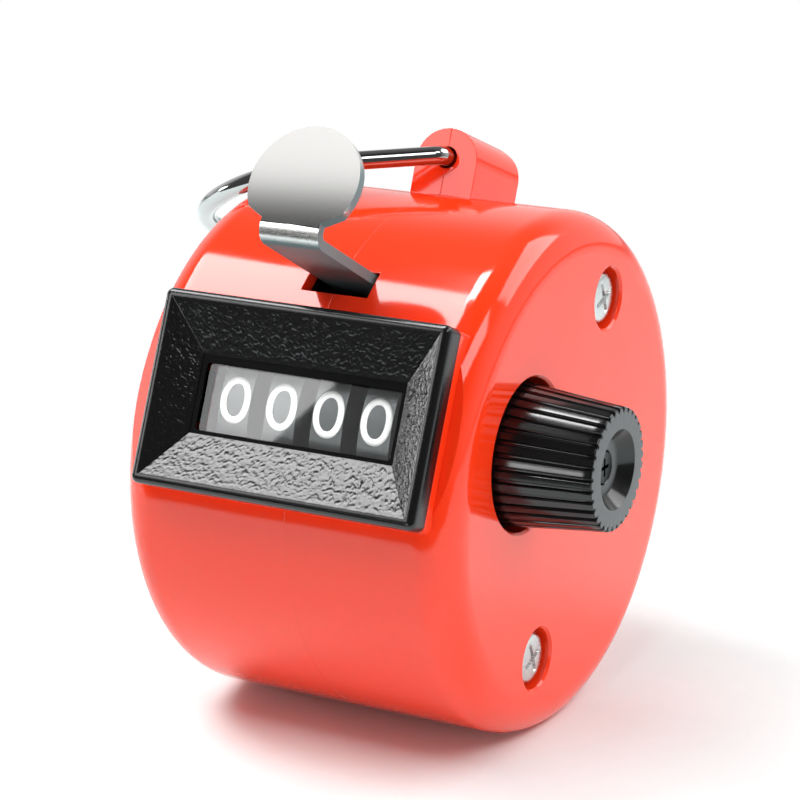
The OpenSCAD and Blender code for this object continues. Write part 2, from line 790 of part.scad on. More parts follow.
module knob_screw() {
    color("dimgray") drum_frame() difference() {
        union() {
            bar_x(screw_seat_x, knob_tip_x - recess_depth, knob_screw_head_r, wheel_axis);
            bar_x(shaft_end_x - knob_screw_l, screw_seat_x + weld, knob_screw_r, wheel_axis);
        }
        translate([0, wheel_axis.x, wheel_axis.y])
            cross_recess(knob_tip_x - recess_depth, 2 * knob_screw_head_r);
    }
}

// Number wheels
module ratchet_outline() {
    polygon([
        for (k = [0:9]) each [
            unit(digit_turn * k + pawl_tip_angle + tooth_foot_turn) * root_r,
            unit(digit_turn * k + pawl_tip_angle + tooth_tip_turn) * ratchet_r
        ]
    ]);
}
module number_wheel(i) {
    key_dir = unit(key_angle);
    drum_frame() at_wheel(i) difference() {
        union() {
            slab_x(-band_w / 2, band_w / 2) difference() {
                circle(wheel_r);
                circle(wheel_r - rim_t);
            }
            slab_x(-web_t / 2, web_t / 2) circle(wheel_r - rim_t / 2);
            slab_x(-hub_left, hub_right) circle(hub_r);
            slab_x(ratchet_x - ratchet_t / 2, ratchet_x + ratchet_t / 2) ratchet_outline();
            slab_x(-web_t / 2 - key_t, 0) spot(key_dir * key_peg_at, key_peg_r);
        }
        bar_x(-hub_left - 1, hub_right + 1, shaft_r + run_fit);
        slab_x(-web_t / 2 - key_t - slip_gap, -web_t / 2)
            bar([0, 0], key_dir * (hub_r + key_neck_l), groove_w);
    }
}
module number_wheel_units() { color("dimgray") number_wheel(0); }
module number_wheel_tens() { color("dimgray") number_wheel(1); }
module number_wheel_hundreds() { color("dimgray") number_wheel(2); }
module number_wheel_thousands() { color("dimgray") number_wheel(3); }

module reset_key(i) {
    key_dir = unit(key_angle);
    key_tip_r = shaft_r - groove_h + slip_gap;
    drum_frame() at_wheel(i) slab_x(-web_t / 2 - key_t, -web_t / 2) difference() {
        union() {
            bar(key_dir * key_tip_r, key_dir * (hub_r + key_neck_l), key_w);
            bar(key_dir * (hub_r + key_neck_l - key_neck_lap), key_dir * key_tail_r, key_tail_w);
        }
        spot(key_dir * key_peg_at, key_peg_r + push_fit);
    }
}
module reset_key_units() { color("goldenrod") reset_key(0); }
module reset_key_tens() { color("goldenrod") reset_key(1); }
module reset_key_hundreds() { color("goldenrod") reset_key(2); }
module reset_key_thousands() { color("goldenrod") reset_key(3); }

// Finger ring: a wire that turns in the lug's hole, with a straight leg on each side and a round end
module ring_arc(r, start, turn) {
    rotate([0, 0, start]) rotate_extrude(angle = turn) translate([r, 0]) circle(wire_r);
}
module finger_ring() {
    $fn = 48;
    color("silver") drum_frame() at_lug() translate([0, 0, lug_hole_at]) rotate([0, 180 - ring_droop, 0]) {
        rotate([90, 0, 0]) cylinder(h = 2 * ring_out, r = wire_r, center = true);
        for (side = [0, 1]) mirror([0, side, 0]) {
            translate([ring_bend_r, ring_out, 0]) ring_arc(ring_bend_r, 90 + ring_spread, 90 - ring_spread);
            translate([ring_leg_start.x, ring_leg_start.y, 0]) rotate([0, 90, ring_spread])
                cylinder(h = ring_leg_l, r = wire_r);
        }
        translate([ring_mid, 0, 0]) difference() {
            ring_arc(ring_r, 0, 360);
            linear_extrude(2 * ring_wire_d, center = true) polygon([
                [0, 0],
                leg_normal * 2 * ring_r,
                [-3 * ring_r, 0],
                [leg_normal.x, -leg_normal.y] * 2 * ring_r
            ]);
        }
    }
}

left_shell();
right_shell();
window_bezel();
window_lens();
case_screws();
mechanism_frame();
lever_pivot_pin();
return_spring();
detent_spring();
detent_rivets();
thumb_lever();
pawl_pin();
pawl_spring();
pawl_comb();
reset_shaft();
reset_knob();
knob_screw();
shaft_clip();
wheel_spacer();
shaft_washer();
number_wheel_units();
number_wheel_tens();
number_wheel_hundreds();
number_wheel_thousands();
reset_key_units();
reset_key_tens();
reset_key_hundreds();
reset_key_thousands();
finger_ring();
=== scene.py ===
import bmesh
import bpy
import json
import math
from mathutils import Matrix, Vector

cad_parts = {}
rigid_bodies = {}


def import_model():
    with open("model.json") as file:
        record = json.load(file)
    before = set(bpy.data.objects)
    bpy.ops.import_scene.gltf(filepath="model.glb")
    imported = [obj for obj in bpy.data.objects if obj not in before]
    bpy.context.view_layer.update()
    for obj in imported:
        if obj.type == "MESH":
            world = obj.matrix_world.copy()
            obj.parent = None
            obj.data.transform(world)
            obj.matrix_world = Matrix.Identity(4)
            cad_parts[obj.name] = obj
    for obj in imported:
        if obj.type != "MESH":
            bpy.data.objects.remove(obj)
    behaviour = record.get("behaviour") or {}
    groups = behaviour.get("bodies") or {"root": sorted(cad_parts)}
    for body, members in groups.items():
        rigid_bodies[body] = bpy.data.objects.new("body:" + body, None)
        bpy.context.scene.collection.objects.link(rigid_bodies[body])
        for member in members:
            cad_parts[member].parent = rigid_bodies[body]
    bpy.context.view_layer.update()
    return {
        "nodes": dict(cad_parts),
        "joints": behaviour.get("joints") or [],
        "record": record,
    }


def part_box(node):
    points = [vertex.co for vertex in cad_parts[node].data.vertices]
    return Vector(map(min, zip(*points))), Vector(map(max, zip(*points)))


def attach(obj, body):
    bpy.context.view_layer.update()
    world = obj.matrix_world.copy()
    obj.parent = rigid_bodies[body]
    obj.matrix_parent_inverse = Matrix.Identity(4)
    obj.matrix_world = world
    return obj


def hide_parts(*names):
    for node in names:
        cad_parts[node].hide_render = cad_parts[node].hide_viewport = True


for stray in list(bpy.data.objects):  # the start-up cube, lamp and camera
    bpy.data.objects.remove(stray)

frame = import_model()
mm = 0.001
joints = {joint["name"]: joint for joint in frame["joints"]}
mounts = {mount["name"]: mount for mount in frame["record"]["mounts"]}
axisHeight = mounts["left_face"]["pos_m"][2]  # the drum's axis above the table
wheelAxis = Vector(joints["knob_turn"]["pos_m"])
windowTilt = math.radians(23)  # how far the window leans back
windowOut = Vector((0, -math.cos(windowTilt), math.sin(windowTilt)))
windowUp = Vector((0, math.sin(windowTilt), math.cos(windowTilt)))
places = ("units", "tens", "hundreds", "thousands")  # the four number wheels
print("frame loaded:", len(frame["nodes"]), "nodes")


# Small helpers

smooth = {"interpolation_type": "SMOOTHSTEP"}  # settings that many nodes share
times = {"operation": "MULTIPLY"}


def addNode(tree, kind, settings=None, inputs=None):
    node = tree.nodes.new(kind)
    for name, value in (settings or {}).items():
        setattr(node, name, value)
    for name, value in (inputs or {}).items():
        if isinstance(value, bpy.types.Node):  # a node stands for its first output
            value = value.outputs[0]
        if isinstance(value, bpy.types.NodeSocket):
            tree.links.new(value, node.inputs[name])
        else:
            node.inputs[name].default_value = value
    return node


def tone(hexCode):  # sRGB hex to the linear colour that the shaders use
    channels = [int(hexCode[i:i + 2], 16) / 255 for i in (1, 3, 5)]
    linear = [c / 12.92 if c <= 0.04045 else ((c + 0.055) / 1.055) ** 2.4 for c in channels]
    return (*linear, 1.0)


def startMaterial(name):
    material = bpy.data.materials.new(name)
    material.use_nodes = True
    tree = material.node_tree
    tree.nodes.clear()
    place = addNode(tree, "ShaderNodeTexCoord").outputs["Object"]
    return material, tree, place


def endMaterial(tree, shader):
    addNode(tree, "ShaderNodeOutputMaterial", inputs={"Surface": shader})


def perMetre(sizeMm):  # texture scale for a pattern of this size
    return 1 / (sizeMm * mm)


def makeObject(name, mesh):
    made = bpy.data.objects.new(name, mesh)
    bpy.context.scene.collection.objects.link(made)
    return made


def meshFrom(name, bm):
    mesh = bpy.data.meshes.new(name)
    bmesh.ops.recalc_face_normals(bm, faces=bm.faces)
    bm.to_mesh(mesh)
    bm.free()
    return mesh


def joinRows(bm, rows):  # quads from each loop of points to the next, and from the last to the first
    for row, following in zip(rows, rows[1:] + rows[:1]):
        for i in range(len(row)):
            j = (i + 1) % len(row)
            bm.faces.new((row[i], row[j], following[j], following[i]))


def smoothByAngle(mesh, degrees):
    for face in mesh.polygons:
        face.use_smooth = True
    mesh.set_sharp_from_angle(angle=math.radians(degrees))


def startTree(name, sizes):
    tree = bpy.data.node_groups.new(name, "GeometryNodeTree")
    tree.interface.new_socket("Geometry", in_out="INPUT", socket_type="NodeSocketGeometry")
    for label in sizes:
        tree.interface.new_socket(label, in_out="INPUT", socket_type="NodeSocketFloat")
    tree.interface.new_socket("Geometry", in_out="OUTPUT", socket_type="NodeSocketGeometry")
    return tree, addNode(tree, "NodeGroupInput").outputs


def endTree(tree, geometry, material):
    real = addNode(tree, "GeometryNodeRealizeInstances", inputs={"Geometry": geometry})
    dressed = addNode(tree, "GeometryNodeSetMaterial", inputs={"Geometry": real, "Material": material})
    addNode(tree, "NodeGroupOutput", inputs={"Geometry": dressed})


def finishedMesh(piece):  # the piece with its modifiers as a plain mesh
    bpy.context.view_layer.update()
    graph = bpy.context.evaluated_depsgraph_get()
    mesh = bpy.data.meshes.new_from_object(piece.evaluated_get(graph), depsgraph=graph)
    bpy.data.objects.remove(piece)
    return mesh


def bakeTree(source, tree, sizes, name):
    modifier = source.modifiers.new(tree.name, "NODES")
    modifier.node_group = tree
    for socket in tree.interface.items_tree:
        if socket.in_out == "INPUT" and socket.name in sizes:
            modifier[socket.identifier] = float(sizes[socket.name])
    mesh = finishedMesh(source)
    mesh.name = name
    return makeObject(name, mesh)


def drumPoint(x, up, out):  # a place on the window's seat, in millimetres from the drum's axis
    return Vector((x * mm, 0, axisHeight)) + windowUp * up * mm + windowOut * out * mm


# Materials

def mottle(tree, place, sizeMm, detail, dark, pale):  # a noise of this size, and a tint that follows it
    noise = addNode(tree, "ShaderNodeTexNoise",
                    inputs={"Vector": place, "Scale": perMetre(sizeMm), "Detail": detail})
    tint = addNode(tree, "ShaderNodeValToRGB", inputs={"Fac": noise})
    tint.color_ramp.elements[0].color = tone(dark)
    tint.color_ramp.elements[1].color = tone(pale)
    return noise, tint


shell = {"middle": -0.7, "halfInside": 12.8, "insideRadius": 19.8}  # millimetres; within these the shell is painted dark as painted shade


def redAbs():  # injection-moulded ABS: even orange red, wet gloss, a trace of orange peel, and painted shade inside
    material, tree, place = startMaterial("mouldedAbsRed")
    peel = addNode(tree, "ShaderNodeTexNoise",
                   inputs={"Vector": place, "Scale": perMetre(1.6), "Detail": 2.0})
    haze, tint = mottle(tree, place, 9, 3.0, "#EE3512", "#F13916")
    gloss = addNode(tree, "ShaderNodeMapRange", inputs={"Value": haze, "To Min": 0.07, "To Max": 0.13})
    across = addNode(tree, "ShaderNodeSeparateXYZ", inputs={"Vector": place}).outputs["X"]
    between = addNode(tree, "ShaderNodeMath", {"operation": "COMPARE"},
                      {0: across, 1: shell["middle"] * mm, 2: shell["halfInside"] * mm})
    flat = addNode(tree, "ShaderNodeVectorMath", times, {0: place, 1: (0, 1, 1)})
    reach = addNode(tree, "ShaderNodeVectorMath", {"operation": "DISTANCE"},
                    {0: flat, 1: (0, 0, axisHeight)})
    within = addNode(tree, "ShaderNodeMath", {"operation": "LESS_THAN"},
                     {0: reach.outputs["Value"], 1: shell["insideRadius"] * mm})
    inside = addNode(tree, "ShaderNodeMath", times, {0: between, 1: within})
    # painted shade: inside the drum the red is swapped for a near black, where little light reaches
    paint = addNode(tree, "ShaderNodeMix", {"data_type": "RGBA"},
                    {"Factor": inside, 6: tint, 7: tone("#1C1210")})
    edge = addNode(tree, "ShaderNodeBevel", {"samples": 6}, {"Radius": 0.09 * mm})
    bump = addNode(tree, "ShaderNodeBump",
                   inputs={"Height": peel, "Strength": 0.05, "Distance": 0.03 * mm, "Normal": edge})
    shader = addNode(tree, "ShaderNodeBsdfPrincipled",
                     inputs={"Base Color": paint.outputs[2], "Roughness": gloss,
                             "IOR": 1.54, "Normal": bump})
    endMaterial(tree, shader)
    return material


def grainedAbs():  # black ABS from an etched mould: satin, with a fine grit between the wrinkles
    material, tree, place = startMaterial("grainedAbsBlack")
    grit = addNode(tree, "ShaderNodeTexNoise",
                   inputs={"Vector": place, "Scale": perMetre(0.16), "Detail": 3.0})
    gloss = addNode(tree, "ShaderNodeMapRange", inputs={"Value": grit, "To Min": 0.15, "To Max": 0.27})
    bump = addNode(tree, "ShaderNodeBump",
                   inputs={"Height": grit, "Strength": 0.25, "Distance": 0.02 * mm})
    shader = addNode(tree, "ShaderNodeBsdfPrincipled",
                     inputs={"Base Color": tone("#0B0B0C"), "Roughness": gloss,
                             "IOR": 1.54, "Normal": bump})
    endMaterial(tree, shader)
    return material


def glossAbs():  # black ABS: polished ribs with clear highlights, the flat end left satin from the gate and painted paler grey as a painted sheen
    material, tree, place = startMaterial("polishedAbsBlack")
    smear = addNode(tree, "ShaderNodeTexNoise",
                    inputs={"Vector": place, "Scale": perMetre(2.2), "Detail": 4.0})
    gloss = addNode(tree, "ShaderNodeMapRange", inputs={"Value": smear, "To Min": 0.12, "To Max": 0.2})
    facing = addNode(tree, "ShaderNodeTexCoord").outputs["Normal"]
    endOn = addNode(tree, "ShaderNodeMapRange", smooth,
                    {"Value": addNode(tree, "ShaderNodeSeparateXYZ", inputs={"Vector": facing}).outputs["X"],
                     "From Min": 0.96, "From Max": 0.995})
    # painted sheen: the end faces, found by their normals, get a paler grey than the black of the ribs
    paint = addNode(tree, "ShaderNodeMix", {"data_type": "RGBA"},
                    {"Factor": endOn, 6: tone("#0E0E0F"), 7: tone("#555658")})
    rough = addNode(tree, "ShaderNodeMix", {"data_type": "FLOAT"}, {0: endOn, 2: gloss, 3: 0.5})
    shader = addNode(tree, "ShaderNodeBsdfPrincipled",
                     inputs={"Base Color": paint.outputs[2], "Roughness": rough, "IOR": 1.54})
    endMaterial(tree, shader)
    return material


def clearAcrylic():  # cast acrylic: colourless, sharp reflections, lets the lamps in to the wheels
    material, tree, place = startMaterial("clearAcrylic")
    dust = addNode(tree, "ShaderNodeTexNoise",
                   inputs={"Vector": place, "Scale": perMetre(3), "Detail": 4.0})
    gloss = addNode(tree, "ShaderNodeMapRange", inputs={"Value": dust, "To Min": 0.0, "To Max": 0.03})
    body = addNode(tree, "ShaderNodeBsdfPrincipled",
                   inputs={"Base Color": tone("#FBFCFC"), "Roughness": gloss,
                           "IOR": 1.49, "Transmission Weight": 1.0})
    through = addNode(tree, "ShaderNodeBsdfTransparent")
    path = addNode(tree, "ShaderNodeLightPath")
    mixed = addNode(tree, "ShaderNodeMixShader",
                    inputs={0: path.outputs["Is Shadow Ray"], 1: body, 2: through})
    endMaterial(tree, mixed)
    return material


def silverPaint():  # silver paint on plastic: grey with a soft metal sheen, faint lines round the band
    material, tree, place = startMaterial("silverPaint")
    marks = addNode(tree, "ShaderNodeTexNoise", {"noise_dimensions": "1D"},
                    {"W": addNode(tree, "ShaderNodeSeparateXYZ", inputs={"Vector": place}).outputs["X"],
                     "Scale": perMetre(0.25), "Detail": 3.0})
    tint = addNode(tree, "ShaderNodeValToRGB", inputs={"Fac": marks})
    tint.color_ramp.elements[0].color = tone("#464849")
    tint.color_ramp.elements[1].color = tone("#515354")
    bump = addNode(tree, "ShaderNodeBump",
                   inputs={"Height": marks, "Strength": 0.15, "Distance": 0.02 * mm})
    shader = addNode(tree, "ShaderNodeBsdfPrincipled",
                     inputs={"Base Color": tint, "Metallic": 0.85, "Roughness": 0.3, "Normal": bump})
    endMaterial(tree, shader)
    return material


def whiteInk():  # hot-stamped white foil: flat white with a few thin spots
    material, tree, place = startMaterial("stampedFoilWhite")
    tint = mottle(tree, place, 0.5, 2.0, "#E9E9E6", "#F8F8F6")[1]
    shader = addNode(tree, "ShaderNodeBsdfPrincipled", inputs={"Base Color": tint, "Roughness": 0.5})
    endMaterial(tree, shader)
    return material


def steel(name, pale, dark, roughLow, roughHigh, grainMm, depthMm):
    # drawn or plated steel: fine lines along X that stretch the highlights a little
    material, tree, place = startMaterial(name)
    along = addNode(tree, "ShaderNodeMapping", inputs={"Vector": place, "Scale": (0.08, 1.0, 1.0)})
    lines, tint = mottle(tree, along, grainMm, 3.0, dark, pale)
    gloss = addNode(tree, "ShaderNodeMapRange",
                    inputs={"Value": lines, "To Min": roughLow, "To Max": roughHigh})
    bump = addNode(tree, "ShaderNodeBump",
                   inputs={"Height": lines, "Strength": 0.12, "Distance": depthMm * mm})
    shader = addNode(tree, "ShaderNodeBsdfPrincipled",
                     inputs={"Base Color": tint, "Metallic": 1.0, "Roughness": gloss, "Normal": bump})
    endMaterial(tree, shader)
    return material


padOut = (0, -0.785, 0.62)  # the way that the thumb pad faces


def leverSteel():  # satin nickel polished by the thumb; the underside and the sides are a flat blue-grey, a painted reflection in place of what the steel would mirror there
    material, tree, place = startMaterial("satinNickel")
    along = addNode(tree, "ShaderNodeMapping", inputs={"Vector": place, "Scale": (0.08, 1.0, 1.0)})
    lines = addNode(tree, "ShaderNodeTexNoise",
                    inputs={"Vector": along, "Scale": perMetre(0.12), "Detail": 3.0})
    gloss = addNode(tree, "ShaderNodeMapRange", inputs={"Value": lines, "To Min": 0.24, "To Max": 0.3})
    facing = addNode(tree, "ShaderNodeTexCoord").outputs["Normal"]
    thumb = addNode(tree, "ShaderNodeVectorMath", {"operation": "DOT_PRODUCT"}, {0: facing, 1: padOut})
    worn = addNode(tree, "ShaderNodeMapRange", smooth,
                   {"Value": thumb.outputs["Value"], "From Min": 0.97, "From Max": 0.995})
    rough = addNode(tree, "ShaderNodeMix", {"data_type": "FLOAT"}, {0: worn, 2: gloss, 3: 0.08})
    bright = addNode(tree, "ShaderNodeBsdfPrincipled",
                     inputs={"Base Color": tone("#DCDBD9"), "Metallic": 1.0, "Roughness": rough})
    # painted reflection: flat blue-grey, not metal, on faces turned down or sideways, so they show grey
    # instead of mirroring the red drum
    paintedGrey = addNode(tree, "ShaderNodeBsdfPrincipled",
                   inputs={"Base Color": tone("#64777A"), "Metallic": 0.0, "Roughness": 0.45})
    turns = addNode(tree, "ShaderNodeSeparateXYZ", inputs={"Vector": facing}).outputs
    under = addNode(tree, "ShaderNodeMapRange", smooth,
                    {"Value": turns["Z"], "From Min": -0.1, "From Max": -0.6, "To Min": 0.0, "To Max": 1.0})
    aside = addNode(tree, "ShaderNodeMath", {"operation": "ABSOLUTE"}, {0: turns["X"]})
    sidewaysShare = addNode(tree, "ShaderNodeMapRange", smooth,
                      {"Value": aside, "From Min": 0.85, "From Max": 0.97})
    paintedShare = addNode(tree, "ShaderNodeMath", {"operation": "MAXIMUM"}, {0: under, 1: sidewaysShare})
    mixed = addNode(tree, "ShaderNodeMixShader", inputs={0: paintedShare, 1: bright, 2: paintedGrey})
    endMaterial(tree, mixed)
    return material


def flatBlack():  # matt black: swallows the lamps, so the lens edge reads as a clean dark line; on the walls of the seat's hole it is painted shade
    material, tree, place = startMaterial("mattBlackAndPaintedShade")
    tint = mottle(tree, place, 0.3, 2.0, "#050505", "#0A0A0A")[1]
    shader = addNode(tree, "ShaderNodeBsdfPrincipled",
                     inputs={"Base Color": tint, "Roughness": 0.9, "Specular IOR Level": 0.15})
    endMaterial(tree, shader)
    return material


shellRed = redAbs()
blackAndShade = flatBlack()
bezelBlack = grainedAbs()
knobBlack = glossAbs()
lensClear = clearAcrylic()
wheelGrey = silverPaint()
digitWhite = whiteInk()
leverNickel = leverSteel()
wireChrome = steel("chromedWire", "#B6B6B6", "#A6A6A6", 0.05, 0.1, 0.3, 0.002)
screwZinc = steel("zincPlatedSteel", "#DADBDB", "#BFC0C0", 0.2, 0.32, 0.2, 0.006)
plateSteel = steel("rolledSteel", "#B4B6B8", "#96989A", 0.3, 0.42, 0.3, 0.008)
springSteel = steel("springSteelStrip", "#9FA3A8", "#84888C", 0.25, 0.35, 0.2, 0.005)
screwOxide = steel("blackOxideSteel", "#333436", "#1E1F20", 0.18, 0.3, 0.2, 0.005)
keyBrass = steel("rolledBrass", "#CDA95C", "#B8934A", 0.25, 0.36, 0.25, 0.006)

nodeFinish = {
    "left_shell": shellRed, "right_shell": shellRed, "window_lens": lensClear,
    "mechanism_frame": plateSteel, "lever_pivot_pin": plateSteel, "reset_shaft": plateSteel,
    "pawl_pin": plateSteel, "pawl_comb": plateSteel, "wheel_spacer": plateSteel,
    "shaft_washer": plateSteel, "detent_rivets": plateSteel, "knob_screw": screwOxide,
    "return_spring": springSteel, "detent_spring": springSteel, "pawl_spring": springSteel,
    "shaft_clip": springSteel, "finger_ring": wireChrome,
}
for place in places:
    nodeFinish["number_wheel_" + place] = wheelGrey
    nodeFinish["reset_key_" + place] = keyBrass
for node, finish in nodeFinish.items():
    frame["nodes"][node].data.materials.clear()
    frame["nodes"][node].data.materials.append(finish)
print("materials set on", len(nodeFinish), "nodes")


# Window bezel: a frame of stacked rectangular loops, wrinkled on its four slopes

bezel = {  # millimetres, outwards from the drum's axis or the seat, sideways from the window's middle
    "seat": 19.9, "shift": 0.6, "width": 24.6, "height": 15.2, "thick": 2.7, "corner": 0.6, "sharp": 0.02,
    "edgeRound": 0.5, "edgeSteps": 5, "land": 0.75, "landEase": 0.06, "seatRise": 0.9,
    "slopeDepth": 1.7, "slopeDrop": 0.02, "slopeSteps": 48, "slopeFade": 0.1, "creaseFade": 0.16,
    "windowWidth": 17.1, "windowHeight": 5.6, "border": 0.3, "borderStep": 0.12, "borderEase": 0.03,
    "lensStep": 0.35, "lensLap": 0.75, "footLap": 0.4, "stepMm": 0.09, "sharpFrom": 38,
    "clipX": 9.55, "clipThick": 0.8, "clipWide": 4.0, "clipDeep": 2.7, "clipLap": 0.05,
    "hookOut": 0.5, "hookLap": 0.1, "hookDown": 2.3, "hookHigh": 0.7,
}
grain = {"Wrinkle": 0.56, "Depth": 0.03, "Crease": 0.045, "Pebble": 0.36, "Swell": 0.04}


def rectLoop(halfWide, halfHigh, radius, acrossCount, upCount):
    corners = [(halfWide, -halfHigh), (halfWide, halfHigh), (-halfWide, halfHigh), (-halfWide, -halfHigh)]
    points = []
    for side in range(4):
        start, end = Vector(corners[side]), Vector(corners[(side + 1) % 4])
        count = upCount if side % 2 == 0 else acrossCount
        length = (end - start).length
        forward = (end - start) / length
        inward = Vector((-forward.y, forward.x))
        for step in range(count):
            along = length * step / count
            near = min(along, length - along)
            point = start + forward * along
            if near < radius:  # the sharp corner's points slide onto its arc
                turn = math.radians(45) * (1 - near / radius)
                back = forward if along < length / 2 else -forward
                tip = start if along < length / 2 else end
                centre = tip + back * radius + inward * radius
                point = centre - inward * radius * math.cos(turn) - back * radius * math.sin(turn)
            points.append(point)
    return points


def bezelFoot():  # half the width and height of what sits on the drum, inside the seat
    return (bezel["clipX"] + bezel["clipThick"] + bezel["hookOut"],
            bezel["windowHeight"] / 2 + bezel["lensLap"] + bezel["footLap"])


def bezelLoops():  # (half width, half height, corner, height over the seat, share of the wrinkles)
    halfW, halfH = bezel["width"] / 2, bezel["height"] / 2
    winW, winH = bezel["windowWidth"] / 2, bezel["windowHeight"] / 2
    lensW, lensH = winW + bezel["lensLap"], winH + bezel["lensLap"]
    footW, footH = bezelFoot()
    top, corner, sharp, rise = bezel["thick"], bezel["corner"], bezel["sharp"], bezel["seatRise"]
    edge, land, ease, drop = bezel["edgeRound"], bezel["land"], bezel["landEase"], bezel["slopeDrop"]
    rim, lip = bezel["border"], bezel["borderEase"]
    slopeFoot = top - bezel["slopeDepth"]
    lensTop = slopeFoot - bezel["lensStep"]
    rimTop = slopeFoot - bezel["borderStep"]
    loops = [(halfW, halfH, corner, rise, 0), (halfW, halfH, corner, (top - edge + rise) / 2, 0)]
    for step in range(bezel["edgeSteps"] + 1):
        turn = math.radians(90 * step / bezel["edgeSteps"])
        inset = edge * (1 - math.cos(turn))
        out = top - edge + edge * math.sin(turn)
        loops.append((halfW - inset, halfH - inset, corner - inset, out, 0))
    loops.append((halfW - land + ease, halfH - land + ease, 2 * ease, top, 0))
    for step in range(bezel["slopeSteps"] + 1):
        share = step / bezel["slopeSteps"]
        fade = min(1, share / bezel["slopeFade"]) * min(1, (1 - share) / bezel["slopeFade"])
        wide = (halfW - land) * (1 - share) + (winW + rim) * share
        high = (halfH - land) * (1 - share) + (winH + rim) * share
        loops.append((wide, high, sharp, top - drop - (bezel["slopeDepth"] - drop) * share, fade))
    steps = [(winW + rim, winH + rim, rimTop), (winW + lip, winH + lip, rimTop), (winW, winH, rimTop - lip),
             (winW, winH, lensTop), (lensW, lensH, lensTop), (lensW, lensH, 0),
             (footW, footH, 0), (footW, footH, rise)]
    return loops + [(wide, high, sharp, out, 0) for wide, high, out in steps]


def addBlock(bm, centre, size):
    turn = Matrix((Vector((1, 0, 0)), windowUp, windowOut)).transposed().to_4x4()
    place = Matrix.Translation(centre) @ turn @ Matrix.Diagonal((*[s * mm for s in size], 1))
    bmesh.ops.create_cube(bm, size=1, matrix=place)


def bezelMesh():
    bm = bmesh.new()
    mask = bm.verts.layers.float.new("wrinkle")
    acrossCount = round(bezel["width"] / bezel["stepMm"])
    upCount = round(bezel["height"] / bezel["stepMm"])
    rows = []
    for wide, high, radius, out, fade in bezelLoops():
        mitres = [Vector((sx * wide, sy * high)) for sx in (-1, 1) for sy in (-1, 1)]
        row = []
        for point in rectLoop(wide, high, radius, acrossCount, upCount):
            vert = bm.verts.new(drumPoint(point.x, point.y + bezel["shift"], bezel["seat"] + out))
            toMitre = min((point - mitre).length for mitre in mitres)
            vert[mask] = fade * min(1, toMitre / bezel["creaseFade"])
            row.append(vert)
        rows.append(row)
    joinRows(bm, rows)
    deep, lap, up = bezel["clipDeep"], bezel["clipLap"], bezel["shift"]
    clipMiddle = bezel["clipX"] + bezel["clipThick"] / 2
    hookMiddle = bezel["clipX"] + bezel["clipThick"] + (bezel["hookOut"] - bezel["hookLap"]) / 2
    for side in (-1, 1):
        addBlock(bm, drumPoint(side * clipMiddle, up, bezel["seat"] - deep / 2 + lap),
                 (bezel["clipThick"], bezel["clipWide"], deep + 2 * lap))
        addBlock(bm, drumPoint(side * hookMiddle, up, bezel["seat"] - bezel["hookDown"]),
                 (bezel["hookOut"] + bezel["hookLap"], bezel["clipWide"], bezel["hookHigh"]))
    return meshFrom("windowBezel", bm)


def wrinkleTree():  # worm-like creases where a noise crosses its middle value
    tree, given = startTree("wrinkledSlopes", grain)
    where = addNode(tree, "GeometryNodeInputPosition").outputs["Position"]
    mask = addNode(tree, "GeometryNodeInputNamedAttribute", {"data_type": "FLOAT"}, {"Name": "wrinkle"})
    scale = addNode(tree, "ShaderNodeMath", {"operation": "DIVIDE"}, {0: 1 / mm, 1: given["Wrinkle"]})
    field = addNode(tree, "ShaderNodeTexNoise",
                    inputs={"Vector": where, "Scale": scale, "Detail": 1.0, "Distortion": 0.6})
    away = addNode(tree, "ShaderNodeMath", {"operation": "SUBTRACT"}, {0: field, 1: 0.5})
    ridge = addNode(tree, "ShaderNodeMath", {"operation": "ABSOLUTE"}, {0: away})
    crease = addNode(tree, "ShaderNodeMapRange", smooth,
                     {"Value": ridge, "From Min": 0.0, "From Max": given["Crease"],
                      "To Min": -1.0, "To Max": 0.0})
    deep = addNode(tree, "ShaderNodeMath", times, {0: crease, 1: mask.outputs["Attribute"]})
    size = addNode(tree, "ShaderNodeMath", times, {0: given["Depth"], 1: mm})
    grooves = addNode(tree, "ShaderNodeMath", times, {0: deep, 1: size})
    often = addNode(tree, "ShaderNodeMath", {"operation": "DIVIDE"}, {0: 1 / mm, 1: given["Pebble"]})
    pebbles = addNode(tree, "ShaderNodeTexNoise", inputs={"Vector": where, "Scale": often, "Detail": 1.0})
    level = addNode(tree, "ShaderNodeMath", {"operation": "SUBTRACT"}, {0: pebbles, 1: 0.5})
    swell = addNode(tree, "ShaderNodeMath", times, {0: given["Swell"], 1: mm})
    masked = addNode(tree, "ShaderNodeMath", times, {0: swell, 1: mask.outputs["Attribute"]})
    move = addNode(tree, "ShaderNodeMath", {"operation": "MULTIPLY_ADD"},
                   {0: level, 1: masked, 2: grooves})
    normal = addNode(tree, "GeometryNodeInputNormal").outputs["Normal"]
    offset = addNode(tree, "ShaderNodeVectorMath", {"operation": "SCALE"}, {0: normal, "Scale": move})
    placed = addNode(tree, "GeometryNodeSetPosition",
                     inputs={"Geometry": given["Geometry"], "Offset": offset})
    endTree(tree, placed, bezelBlack)
    return tree


bezelPiece = bakeTree(makeObject("bezelBlank", bezelMesh()), wrinkleTree(), grain, "windowBezel")
smoothByAngle(bezelPiece.data, bezel["sharpFrom"])
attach(bezelPiece, "housing")
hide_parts("window_bezel")
print("bezel:", len(bezelPiece.data.polygons), "faces")


# Red seat under the bezel, with painted shade on the walls of its hole, and the black border round the lens

seat = {"play": 0.02, "sink": 0.9, "inner": 0.05, "corner": 0.1, "stepMm": 0.1, "sharpFrom": 30}
# a matt black band round the lens opening: 0.36 wide at the top, 0.1 at the left, 0.02 at the right and
# bottom
edgeBand = {"over": 0.28, "top": 0.36, "left": 0.1, "right": 0.02, "bottom": 0.02, "corner": 0.3,
          "lift": 0.01, "thick": 0.05, "sharpFrom": 30}


